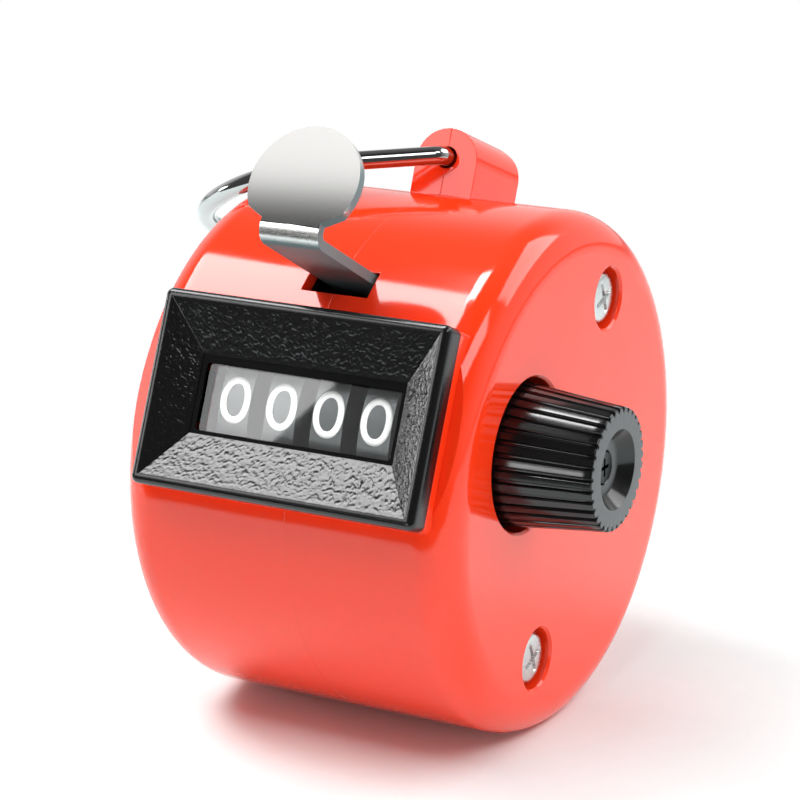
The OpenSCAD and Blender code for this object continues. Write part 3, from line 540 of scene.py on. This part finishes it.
def windowFrame(name, outer, inner, low, high):
    # outer and inner: half width, half height, middle across, middle up, corner
    bm = bmesh.new()
    acrossCount = round(bezel["width"] / seat["stepMm"])
    upCount = round(bezel["height"] / seat["stepMm"])
    rows = []
    for (wide, tall, across, up, corner), out in ((outer, low), (outer, high), (inner, high), (inner, low)):
        spots = [drumPoint(point.x + across, point.y + up + bezel["shift"], bezel["seat"] + out)
                 for point in rectLoop(wide, tall, corner, acrossCount, upCount)]
        rows.append([bm.verts.new(spot) for spot in spots])
    joinRows(bm, rows)
    return makeObject(name, meshFrom(name, bm))


seatW, seatH = bezel["width"] / 2 + seat["play"], bezel["height"] / 2 + seat["play"]
holeW, holeH = [side + seat["inner"] for side in bezelFoot()]
seatPiece = windowFrame("windowSeat", (seatW, seatH, 0, 0, bezel["corner"]),
                        (holeW, holeH, 0, 0, seat["corner"]),
                        -seat["sink"], bezel["seatRise"] - seat["play"])
smoothByAngle(seatPiece.data, seat["sharpFrom"])
seatPiece.data.materials.append(shellRed)
seatPiece.data.materials.append(blackAndShade)
holeMiddle = drumPoint(0, bezel["shift"], bezel["seat"])
shadedW, shadedH = (holeW + seat["inner"]) * mm, (holeH + seat["inner"]) * mm
for wall in seatPiece.data.polygons:  # painted shade: the hole's walls take the matt black, so no red shows behind the lens
    spot = wall.center - holeMiddle
    if abs(spot.x) < shadedW and abs(spot.dot(windowUp)) < shadedH:
        wall.material_index = 1
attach(seatPiece, "housing")

openW, openH = bezel["windowWidth"] / 2, bezel["windowHeight"] / 2
borderFoot = bezel["thick"] - bezel["slopeDepth"] - bezel["borderStep"] + edgeBand["lift"]
edgeBandPiece = windowFrame(
    "lensBorder", (openW + edgeBand["over"], openH + edgeBand["over"], 0, 0, bezel["sharp"]),
    (openW - (edgeBand["left"] + edgeBand["right"]) / 2, openH - (edgeBand["top"] + edgeBand["bottom"]) / 2,
     (edgeBand["left"] - edgeBand["right"]) / 2, (edgeBand["bottom"] - edgeBand["top"]) / 2, edgeBand["corner"]),
    borderFoot, borderFoot + edgeBand["thick"])
smoothByAngle(edgeBandPiece.data, edgeBand["sharpFrom"])
edgeBandPiece.data.materials.append(blackAndShade)
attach(edgeBandPiece, "housing")
print("seat and lens border added")


# Number wheels: digits stamped round each band

digits = {"wide": 2.6, "high": 3.6, "wheelRadius": 10.1, "count": 10, "zeroPower": 0.93, "endsMeet": 1e-6}
stamp = {"Stroke": 0.52, "Raised": 0.03, "Radius": digits["wheelRadius"], "Tilt": math.degrees(windowTilt)}


def arc(cx, cy, rx, ry, fromDeg, toDeg, count=20):
    turns = [math.radians(fromDeg + (toDeg - fromDeg) * i / count) for i in range(count + 1)]
    return [(cx + rx * math.cos(a), cy + ry * math.sin(a)) for a in turns]


def digitStrokes():  # centre lines in a box from -1 to 1 both ways
    power = digits["zeroPower"]  # under 1 makes the nought a little squarer than an ellipse
    zero = [(math.copysign(abs(x) ** power, x), math.copysign(abs(y) ** power, y))
            for x, y in arc(0, 0, 1, 1, 0, 360, 64)]
    six = [arc(0, -0.42, 0.86, 0.58, 0, 360, 32), arc(0.55, -0.42, 1.41, 1.4, 94, 180)]
    nine = [[(-x, -y) for x, y in stroke] for stroke in six]
    return [
        [zero],
        [[(-0.55, 0.5), (0.12, 1)], [(0.12, 1), (0.12, -1)]],
        [arc(0, 0.42, 0.88, 0.58, 170, -35) + [(-0.85, -1)], [(-0.9, -1), (0.9, -1)]],
        [arc(0, 0.5, 0.78, 0.5, 150, -90), arc(0, -0.5, 0.9, 0.5, 90, -150)],
        [[(0.4, -1), (0.4, 1)], [(0.4, 1), (-0.95, -0.4)], [(-0.95, -0.4), (0.95, -0.4)]],
        [[(0.75, 1), (-0.62, 1)], [(-0.62, 1), (-0.75, 0.08)], arc(0, -0.38, 0.9, 0.62, 140, -150)],
        six,
        [[(-0.88, 1), (0.88, 1)], [(0.88, 1), (-0.2, -1)]],
        [arc(0, 0.5, 0.72, 0.5, 0, 360, 32), arc(0, -0.5, 0.9, 0.5, 0, 360, 32)],
        nine,
    ]


def stampCurve(name, centreX):
    curve = bpy.data.curves.new(name, "CURVE")
    curve.dimensions = "3D"
    halfW = (digits["wide"] - stamp["Stroke"]) / 2
    halfH = (digits["high"] - stamp["Stroke"]) / 2
    around = 2 * math.pi / digits["count"] * digits["wheelRadius"]
    for number, strokes in enumerate(digitStrokes()):
        for stroke in strokes:
            closed = (Vector(stroke[0]) - Vector(stroke[-1])).length < digits["endsMeet"]
            points = stroke[:-1] if closed else stroke
            spline = curve.splines.new("POLY")
            spline.points.add(len(points) - 1)
            spline.use_cyclic_u = closed
            for point, (x, y) in zip(spline.points, points):
                point.co = (centreX + x * halfW * mm, (number * around + y * halfH) * mm, 0, 1)
    return makeObject(name, curve)


def stampTree():  # a flat ribbon along each stroke, then the strip is wrapped round the wheel
    tree, given = startTree("stampedDigits", stamp)
    wide = addNode(tree, "ShaderNodeMath", times, {0: given["Stroke"], 1: mm})
    thick = addNode(tree, "ShaderNodeMath", times, {0: given["Raised"], 1: 2 * mm})
    level = addNode(tree, "GeometryNodeSetCurveNormal", {"mode": "Z_UP"}, {"Curve": given["Geometry"]})
    band = addNode(tree, "GeometryNodeCurvePrimitiveQuadrilateral", {"mode": "RECTANGLE"},
                   {"Width": wide, "Height": thick})
    ribbon = addNode(tree, "GeometryNodeCurveToMesh",
                     inputs={"Curve": level, "Profile Curve": band, "Fill Caps": True})
    where = addNode(tree, "GeometryNodeInputPosition").outputs["Position"]
    flat = addNode(tree, "ShaderNodeSeparateXYZ", inputs={"Vector": where}).outputs
    metres = addNode(tree, "ShaderNodeMath", times, {0: given["Radius"], 1: mm})
    turn = addNode(tree, "ShaderNodeMath", {"operation": "DIVIDE"}, {0: flat["Y"], 1: metres})
    lean = addNode(tree, "ShaderNodeMath", {"operation": "RADIANS"}, {0: given["Tilt"]})
    angle = addNode(tree, "ShaderNodeMath", {"operation": "ADD"}, {0: turn, 1: lean})
    reach = addNode(tree, "ShaderNodeMath", {"operation": "ADD"}, {0: flat["Z"], 1: metres})
    cosine = addNode(tree, "ShaderNodeMath", {"operation": "COSINE"}, {0: angle})
    sine = addNode(tree, "ShaderNodeMath", {"operation": "SINE"}, {0: angle})
    front = addNode(tree, "ShaderNodeMath", times, {0: cosine, 1: reach})
    back = addNode(tree, "ShaderNodeMath", {"operation": "SUBTRACT"}, {0: wheelAxis.y, 1: front})
    rise = addNode(tree, "ShaderNodeMath", {"operation": "MULTIPLY_ADD"},
                   {0: sine, 1: reach, 2: wheelAxis.z})
    wrapped = addNode(tree, "ShaderNodeCombineXYZ", inputs={"X": flat["X"], "Y": back, "Z": rise})
    placed = addNode(tree, "GeometryNodeSetPosition", inputs={"Geometry": ribbon, "Position": wrapped})
    endTree(tree, placed, digitWhite)
    return tree


stampedDigits = stampTree()
for place in places:
    centreX = joints["wheel_" + place + "_turn"]["pos_m"][0]
    label = "digits" + place.capitalize()
    digitsPiece = bakeTree(stampCurve(label, centreX), stampedDigits, stamp, label)
    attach(digitsPiece, "wheel_" + place)
print("digits stamped on four wheels")


# Reset knob: a turned blank whose side is pushed in between the ribs

knob = {
    "baseRadius": 5.5, "tipRadius": 4.75, "face": 14.0, "reach": 7.5, "start": 12.6, "collar": 5.0,
    "collarEase": 0.2, "lead": 0.25, "leadTuck": 0.02, "sideSteps": 12, "tipRound": 0.14, "tipSteps": 5,
    "recessRadius": 3.05, "recessDeep": 1.1, "rimFlat": 0.45, "floorRadius": 2.25, "floorEase": 0.03,
    "ease": 0.05, "seatRadius": 1.3, "seatDeep": 2.0, "boreRadius": 1.27, "boreEnd": 18.5, "throat": 0.65,
    "perRib": 16, "sharpFrom": 40,
}
ribs = {"Count": 34.0, "Height": 0.3, "Groove": 0.08, "Crown": 0.42}


def knobProfile():  # (x, radius, share of the rib height)
    base, face, start, lead = knob["baseRadius"], knob["face"], knob["start"], knob["lead"]
    collar, collarEase, ease = knob["collar"], knob["collarEase"], knob["ease"]
    recess, floorRadius, seatRadius = knob["recessRadius"], knob["floorRadius"], knob["seatRadius"]
    tip = face + knob["reach"]
    slope = (base - knob["tipRadius"]) / knob["reach"]
    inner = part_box("reset_knob")[0].x / mm
    profile = [(inner, knob["boreRadius"], 0), (inner, collar - collarEase, 0),
               (inner + collarEase, collar, 0), (start, collar, 0)]
    startRadius = base + slope * (face - start)
    profile += [(start, startRadius - lead, 1), (start + lead, startRadius - knob["leadTuck"], 1)]
    for step in range(1, knob["sideSteps"] + 1):
        x = start + lead + (tip - knob["tipRound"] - start - lead) * step / knob["sideSteps"]
        profile.append((x, base - slope * (x - face), 1))
    for step in range(1, knob["tipSteps"] + 1):
        turn = math.radians(90 * step / knob["tipSteps"])
        radius = knob["tipRadius"] - knob["tipRound"] * (1 - math.cos(turn))
        profile.append((tip - knob["tipRound"] * (1 - math.sin(turn)), radius, 1))
    floorX, seatX = tip - knob["recessDeep"], tip - knob["seatDeep"]
    plain = [(tip, recess + knob["rimFlat"]), (tip, recess + ease), (tip - ease, recess),
             (floorX + ease, floorRadius + knob["floorEase"]), (floorX, floorRadius - ease),
             (floorX, seatRadius + ease), (floorX - ease, seatRadius), (seatX, seatRadius),
             (seatX, knob["throat"]), (knob["boreEnd"], knob["throat"]),
             (knob["boreEnd"], knob["boreRadius"])]
    return profile + [(x, radius, 0) for x, radius in plain]


def turnedMesh(name, profile, segments, axisPoint, layerName=None):
    bm = bmesh.new()
    layer = bm.verts.layers.float.new(layerName) if layerName else None
    rows = []
    for entry in profile:
        row = []
        for i in range(segments):
            a = 2 * math.pi * i / segments
            aside, above = entry[1] * mm * math.cos(a), entry[1] * mm * math.sin(a)
            vert = bm.verts.new((entry[0] * mm, axisPoint.y + aside, axisPoint.z + above))
            if layer:
                vert[layer] = entry[2]
            row.append(vert)
        rows.append(row)
    joinRows(bm, rows)
    return meshFrom(name, bm)


def ribTree():
    tree, given = startTree("knobRibs", ribs)
    where = addNode(tree, "GeometryNodeInputPosition").outputs["Position"]
    centre = addNode(tree, "ShaderNodeVectorMath", {"operation": "SUBTRACT"},
                     {0: where, 1: (0, wheelAxis.y, wheelAxis.z)})
    flat = addNode(tree, "ShaderNodeVectorMath", times, {0: centre, 1: (0, 1, 1)})
    parts = addNode(tree, "ShaderNodeSeparateXYZ", inputs={"Vector": flat}).outputs
    angle = addNode(tree, "ShaderNodeMath", {"operation": "ARCTAN2"}, {0: parts["Z"], 1: parts["Y"]})
    phase = addNode(tree, "ShaderNodeMath", times, {0: angle, 1: given["Count"]})
    wave = addNode(tree, "ShaderNodeMath", {"operation": "COSINE"}, {0: phase})
    lifted = addNode(tree, "ShaderNodeMath", {"operation": "MULTIPLY_ADD"},
                     {0: wave, 1: 0.5, 2: 0.5})  # the wave, from 0 to 1
    dip = addNode(tree, "ShaderNodeMapRange", smooth,
                  {"Value": lifted, "From Min": given["Groove"], "From Max": given["Crown"],
                   "To Min": -1.0, "To Max": 0.0})
    share = addNode(tree, "GeometryNodeInputNamedAttribute", {"data_type": "FLOAT"}, {"Name": "ribShare"})
    shaped = addNode(tree, "ShaderNodeMath", times, {0: dip, 1: share.outputs["Attribute"]})
    height = addNode(tree, "ShaderNodeMath", times, {0: given["Height"], 1: mm})
    move = addNode(tree, "ShaderNodeMath", times, {0: shaped, 1: height})
    outward = addNode(tree, "ShaderNodeVectorMath", {"operation": "NORMALIZE"}, {0: flat})
    offset = addNode(tree, "ShaderNodeVectorMath", {"operation": "SCALE"}, {0: outward, "Scale": move})
    placed = addNode(tree, "GeometryNodeSetPosition",
                     inputs={"Geometry": given["Geometry"], "Offset": offset})
    endTree(tree, placed, knobBlack)
    return tree


knobSides = int(ribs["Count"]) * knob["perRib"]
knobBlank = makeObject("knobBlank", turnedMesh("knobBlank", knobProfile(), knobSides, wheelAxis, "ribShare"))
knobPiece = bakeTree(knobBlank, ribTree(), ribs, "resetKnob")
smoothByAngle(knobPiece.data, knob["sharpFrom"])
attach(knobPiece, "reset_shaft")
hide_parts("reset_knob")
print("knob ribbed:", len(knobPiece.data.polygons), "faces")


# Case screws: one pan head with a cross recess, set on both screw places

screws = {
    "angle": 65.5, "ring": 14.6, "faceX": 14.0, "sink": 0.45, "turned": 20, "sides": 64, "sharpFrom": 32,
    "headRadius": 2.1, "headThick": 0.9, "headEase": 0.05, "domeDeep": 0.42, "domeIn": 0.55, "domeSteps": 6,
    "crownRise": 0.06, "crownRadius": 1.0, "peakRise": 0.08, "poleRadius": 0.02,
    "shankRadius": 1.0, "tipX": -9.0, "tipLong": 1.0,
    "wing": 1.3, "wingTop": 1.15, "wingLow": 0.55, "slotWide": 0.42, "slotTaper": 0.3, "slotDeep": 0.75,
    "slotOver": 0.3, "soften": 0.05, "softenSteps": 2, "softenFrom": 40,
}


def screwMesh():
    top = screws["faceX"] - screws["sink"]
    under = top - screws["headThick"]
    head, shank, pole = screws["headRadius"], screws["shankRadius"], screws["poleRadius"]
    profile = [(screws["tipX"], pole), (screws["tipX"] + screws["tipLong"], shank), (under, shank),
               (under, head - screws["headEase"])]
    for step in range(screws["domeSteps"] + 1):
        turn = math.radians(90 * step / screws["domeSteps"])
        profile.append((top - screws["domeDeep"] * (1 - math.sin(turn)),
                        head - screws["domeIn"] * (1 - math.cos(turn))))
    profile += [(top + screws["crownRise"], screws["crownRadius"]), (top + screws["peakRise"], pole)]
    return turnedMesh("screwBlank", profile, screws["sides"], Vector((0, 0, 0)))


def crossCutter():  # two tapered wings
    bm = bmesh.new()
    top = (screws["faceX"] - screws["sink"] + screws["slotOver"]) * mm
    low = top - (screws["slotDeep"] + screws["slotOver"]) * mm
    for quarter in (0, 1):
        corners = []
        for x, share in ((top, screws["wingTop"]), (low, screws["wingLow"])):
            wing = screws["wing"] * share * mm
            half = screws["slotWide"] / 2 * (1 - screws["slotTaper"] + screws["slotTaper"] * share) * mm
            for y, z in ((-wing, -half), (wing, -half), (wing, half), (-wing, half)):
                corners.append(bm.verts.new((x, y, z) if quarter == 0 else (x, -z, y)))
        for loop in ((0, 1, 2, 3), (7, 6, 5, 4), (0, 4, 5, 1), (1, 5, 6, 2), (2, 6, 7, 3), (3, 7, 4, 0)):
            bm.faces.new([corners[i] for i in loop])
    return makeObject("crossCutter", meshFrom("crossCutter", bm))


def recessedScrew():
    blank = makeObject("screwBlank", screwMesh())
    cutter = crossCutter()
    cut = blank.modifiers.new("cross", "BOOLEAN")
    cut.operation = "DIFFERENCE"
    cut.solver = "EXACT"
    cut.use_self = True
    cut.object = cutter
    soften = blank.modifiers.new("soften", "BEVEL")
    soften.width = screws["soften"] * mm
    soften.segments = screws["softenSteps"]
    soften.angle_limit = math.radians(screws["softenFrom"])
    mesh = finishedMesh(blank)
    bpy.data.objects.remove(cutter)
    return mesh


def screwTree(oneScrew):
    tree, given = startTree("caseScrews", {})
    info = addNode(tree, "GeometryNodeObjectInfo", inputs={"Object": oneScrew})
    spread = addNode(tree, "GeometryNodeInstanceOnPoints",
                     inputs={"Points": given["Geometry"], "Instance": info.outputs["Geometry"]})
    turned = addNode(tree, "GeometryNodeRotateInstances",
                     inputs={"Instances": spread, "Rotation": (math.radians(screws["turned"]), 0, 0)})
    endTree(tree, turned, screwZinc)
    return tree


def screwPoints():  # opposite each other round the drum's axis
    mesh = bpy.data.meshes.new("screwPlaces")
    angle = math.radians(screws["angle"])
    reaches = [side * screws["ring"] * mm for side in (1, -1)]
    mesh.from_pydata([(0, r * math.cos(angle), axisHeight + r * math.sin(angle)) for r in reaches], [], [])
    return makeObject("screwPlaces", mesh)


screwObject = makeObject("oneScrew", recessedScrew())
screwPiece = bakeTree(screwPoints(), screwTree(screwObject), {}, "caseScrews")
bpy.data.objects.remove(screwObject)
smoothByAngle(screwPiece.data, screws["sharpFrom"])
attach(screwPiece, "housing")
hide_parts("case_screws")
print("screws set:", len(screwPiece.data.polygons), "faces")


# Thumb lever: the stamped strip with its cut edges rounded off

lever = {"edgeRound": 0.14, "edgeSteps": 3, "sharpFrom": 35, "mergeMm": 0.0005, "flatWithin": 0.5,
         "flatWeight": 100}


def roundedCopy(node, name):
    bm = bmesh.new()
    bm.from_mesh(frame["nodes"][node].data)
    bmesh.ops.remove_doubles(bm, verts=bm.verts, dist=lever["mergeMm"] * mm)
    flat = math.radians(lever["flatWithin"])
    bmesh.ops.dissolve_limit(bm, angle_limit=flat, verts=bm.verts, edges=bm.edges)
    clean = bpy.data.meshes.new(name)
    bm.to_mesh(clean)
    bm.free()
    smoothByAngle(clean, lever["sharpFrom"])
    piece = makeObject(name, clean)
    bevel = piece.modifiers.new("edges", "BEVEL")
    bevel.width = lever["edgeRound"] * mm
    bevel.segments = lever["edgeSteps"]
    bevel.limit_method = "ANGLE"
    bevel.angle_limit = math.radians(lever["sharpFrom"])
    level = piece.modifiers.new("level", "WEIGHTED_NORMAL")  # keeps the flat of the pad flat
    level.mode = "FACE_AREA"
    level.weight = lever["flatWeight"]
    return makeObject(name, finishedMesh(piece))


leverPiece = roundedCopy("thumb_lever", "thumbLever")
leverPiece.data.materials.append(leverNickel)
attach(leverPiece, "thumb_lever")
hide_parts("thumb_lever")
print("lever rounded:", len(leverPiece.data.polygons), "faces")


# Stage, lamps and camera

stage = {
    "floorSize": 3.0, "floorFront": 78, "shadowFrom": 21, "shadowTo": 62,  # metres, then millimetres
    "skyFront": 0.1, "skyBack": 0.9, "frontTo": -0.3, "backFrom": 0.5,  # brightness, and where it changes
    "ceiling": 0.25, "wallTo": 0.35, "ceilingFrom": 0.75, "cardDim": 0.08,
}
lamps = {  # place and aim in millimetres, the way its long edge runs, size, brightness
    "topBox": {"at": (-215, -40, 320), "aim": (-215, -40, 0), "edge": (0.94, -0.34, 0),
               "size": (250, 150), "glow": 11},
    "padCard": {"at": (-190, -152, 322), "aim": (-190, -152, 0), "edge": (1, 0.05, 0),
                "size": (260, 72), "glow": 1.25, "fade": 0.1, "diffuse": False},
    "lensCard": {"at": (-237, -292, 210), "aim": (0, -19, 29), "edge": (0.6, 0.15, 0.8),
                 "size": (200, 120), "glow": 4, "diffuse": False},
    "sideBox": {"at": (260, -120, 320), "aim": (10, 0, 35), "edge": (0, 1, 0),
                "size": (260, 130), "glow": 5},
    "backBox": {"at": (230, 230, 330), "aim": (10, 0, 20), "edge": (1, -1, 0),
                "size": (300, 220), "glow": 4},
    "frontStrip": {"at": (-73, -350, 32), "aim": (18, -14, 25), "edge": (1, 0, 0),
                   "size": (90, 40), "glow": 8, "diffuse": False},
    "knobCard": {"at": (-74, 19, 322), "aim": (18, -10, 25), "edge": (1, 0, 0),
                 "size": (90, 90), "glow": 20, "diffuse": False},
    "leftCard": {"at": (-400, -50, 70), "aim": (0, -20, 28), "edge": (0, 1, 0),
                 "size": (80, 70), "glow": 8},
    "fillBox": {"at": (420, -110, 70), "aim": (14, 0, 25), "edge": (0, 1, 0),
                "size": (300, 130), "glow": 3.6, "glossy": False},
    "frontFill": {"at": (-60, -420, 60), "aim": (0, 0, 15), "edge": (1, 0, 0),
                  "size": (300, 130), "glow": 2.8, "glossy": False},
    "floorBox": {"at": (-60, -190, 420), "aim": (-30, -60, 0), "edge": (1, 0, 0),
                 "size": (300, 200), "glow": 5, "glossy": False},
}
photoView = {"azimuth": 28.486, "elevation": 17.417, "distance": 221.73, "lens": 122.4, "sensor": 36,
             "shift": (-0.0221, 0.0658), "nearest": 0.01}


def whiteFloor():  # matt paper: white to the camera away from the object, so only the shadow shows
    material, tree, place = startMaterial("paperSweep")
    tint = mottle(tree, place, 2, 2.0, "#E8F2F2", "#ECF6F6")[1]
    shader = addNode(tree, "ShaderNodeBsdfPrincipled", inputs={"Base Color": tint, "Roughness": 0.6})
    away = addNode(tree, "ShaderNodeVectorMath", {"operation": "LENGTH"}, {0: place})
    fade = addNode(tree, "ShaderNodeMapRange", smooth,
                   {"Value": away.outputs["Value"], "From Min": stage["shadowFrom"] * mm,
                    "From Max": stage["shadowTo"] * mm})
    seen = addNode(tree, "ShaderNodeLightPath").outputs["Is Camera Ray"]
    lift = addNode(tree, "ShaderNodeMath", times, {0: fade, 1: seen})
    white = addNode(tree, "ShaderNodeEmission", inputs={"Color": (1, 1, 1, 1), "Strength": 1.0})
    mixed = addNode(tree, "ShaderNodeMixShader", inputs={0: lift, 1: shader, 2: white})
    endMaterial(tree, mixed)
    return material


def studioSky():  # white to the camera, a dim room in front and above for what mirrors it
    world = bpy.data.worlds.new("studio")
    world.use_nodes = True
    tree = world.node_tree
    tree.nodes.clear()
    ray = addNode(tree, "ShaderNodeLightPath").outputs
    seen = addNode(tree, "ShaderNodeMath", {"operation": "MAXIMUM"},
                   {0: ray["Is Camera Ray"], 1: ray["Is Transmission Ray"]})
    facing = addNode(tree, "ShaderNodeTexCoord").outputs["Generated"]
    looks = addNode(tree, "ShaderNodeSeparateXYZ", inputs={"Vector": facing}).outputs
    toBack = addNode(tree, "ShaderNodeMapRange", smooth,
                     {"Value": looks["Y"], "From Min": stage["frontTo"], "From Max": stage["backFrom"],
                      "To Min": stage["skyFront"], "To Max": stage["skyBack"]})
    toTop = addNode(tree, "ShaderNodeMapRange", smooth,
                    {"Value": looks["Z"], "From Min": stage["wallTo"], "From Max": stage["ceilingFrom"],
                     "To Min": 1.0, "To Max": stage["ceiling"]})
    room = addNode(tree, "ShaderNodeMath", times, {0: toBack, 1: toTop})
    strength = addNode(tree, "ShaderNodeMapRange", inputs={"Value": seen, "To Min": room, "To Max": 1.0})
    light = addNode(tree, "ShaderNodeBackground", inputs={"Color": (1, 1, 1, 1), "Strength": strength})
    addNode(tree, "ShaderNodeOutputWorld", inputs={"Surface": light})
    return world


def dimEdge(data, share):  # the near edge of the card dims, so the pad darkens towards its neck
    data.use_nodes = True
    tree = data.node_tree
    tree.nodes.clear()
    along = addNode(tree, "ShaderNodeNewGeometry").outputs["Parametric"]
    across = addNode(tree, "ShaderNodeSeparateXYZ", inputs={"Vector": along}).outputs["Y"]
    ramp = addNode(tree, "ShaderNodeMapRange", smooth,
                   {"Value": across, "From Max": share, "To Min": stage["cardDim"], "To Max": 1.0})
    beam = addNode(tree, "ShaderNodeEmission", inputs={"Strength": ramp})
    addNode(tree, "ShaderNodeOutputLight", inputs={"Surface": beam})


def addLamp(name, plan):
    data = bpy.data.lights.new(name, "AREA")
    data.shape = "RECTANGLE"
    data.size, data.size_y = [side * mm for side in plan["size"]]
    data.energy = plan["glow"] * math.pi * data.size * data.size_y  # watts for that brightness
    if "fade" in plan:
        dimEdge(data, plan["fade"])
    lamp = makeObject(name, data)
    lamp.visible_diffuse = plan.get("diffuse", True)  # False for a card that only shows in reflections
    lamp.visible_glossy = plan.get("glossy", True)  # False for a fill that shows in none
    away = (Vector(plan["at"]) - Vector(plan["aim"])).normalized()
    edge = Vector(plan["edge"])
    edge = (edge - away * edge.dot(away)).normalized()
    lamp.rotation_euler = Matrix((edge, away.cross(edge), away)).transposed().to_euler()
    lamp.location = Vector(plan["at"]) * mm


def photoCamera():
    eye = bpy.data.cameras.new("photoCamera")
    eye.sensor_width = photoView["sensor"]
    eye.lens = photoView["lens"]
    eye.shift_x, eye.shift_y = photoView["shift"]
    eye.clip_start = photoView["nearest"]
    camera = makeObject("photoCamera", eye)
    turn, rise = math.radians(photoView["azimuth"]), math.radians(photoView["elevation"])
    back = Vector((math.sin(turn) * math.cos(rise), -math.cos(turn) * math.cos(rise), math.sin(rise)))
    camera.location = Vector((0, 0, axisHeight)) + back * photoView["distance"] * mm
    camera.rotation_euler = (-back).to_track_quat("-Z", "Y").to_euler()
    return camera


floorMesh = bpy.data.meshes.new("floor")
far = stage["floorSize"] / 2
near = -stage["floorFront"] * mm  # the sheet ends a little way in front, so the bezel mirrors the dim room
floorMesh.from_pydata([(-far, near, 0), (far, near, 0), (far, far, 0), (-far, far, 0)], [], [(0, 1, 2, 3)])
floorMesh.materials.append(whiteFloor())
floor = makeObject("floor", floorMesh)

for name, plan in lamps.items():
    addLamp(name, plan)
bpy.context.scene.world = studioSky()
bpy.context.scene.camera = photoCamera()
bpy.context.scene.view_settings.view_transform = "Standard"
print("stage set with", len(lamps), "lamps")
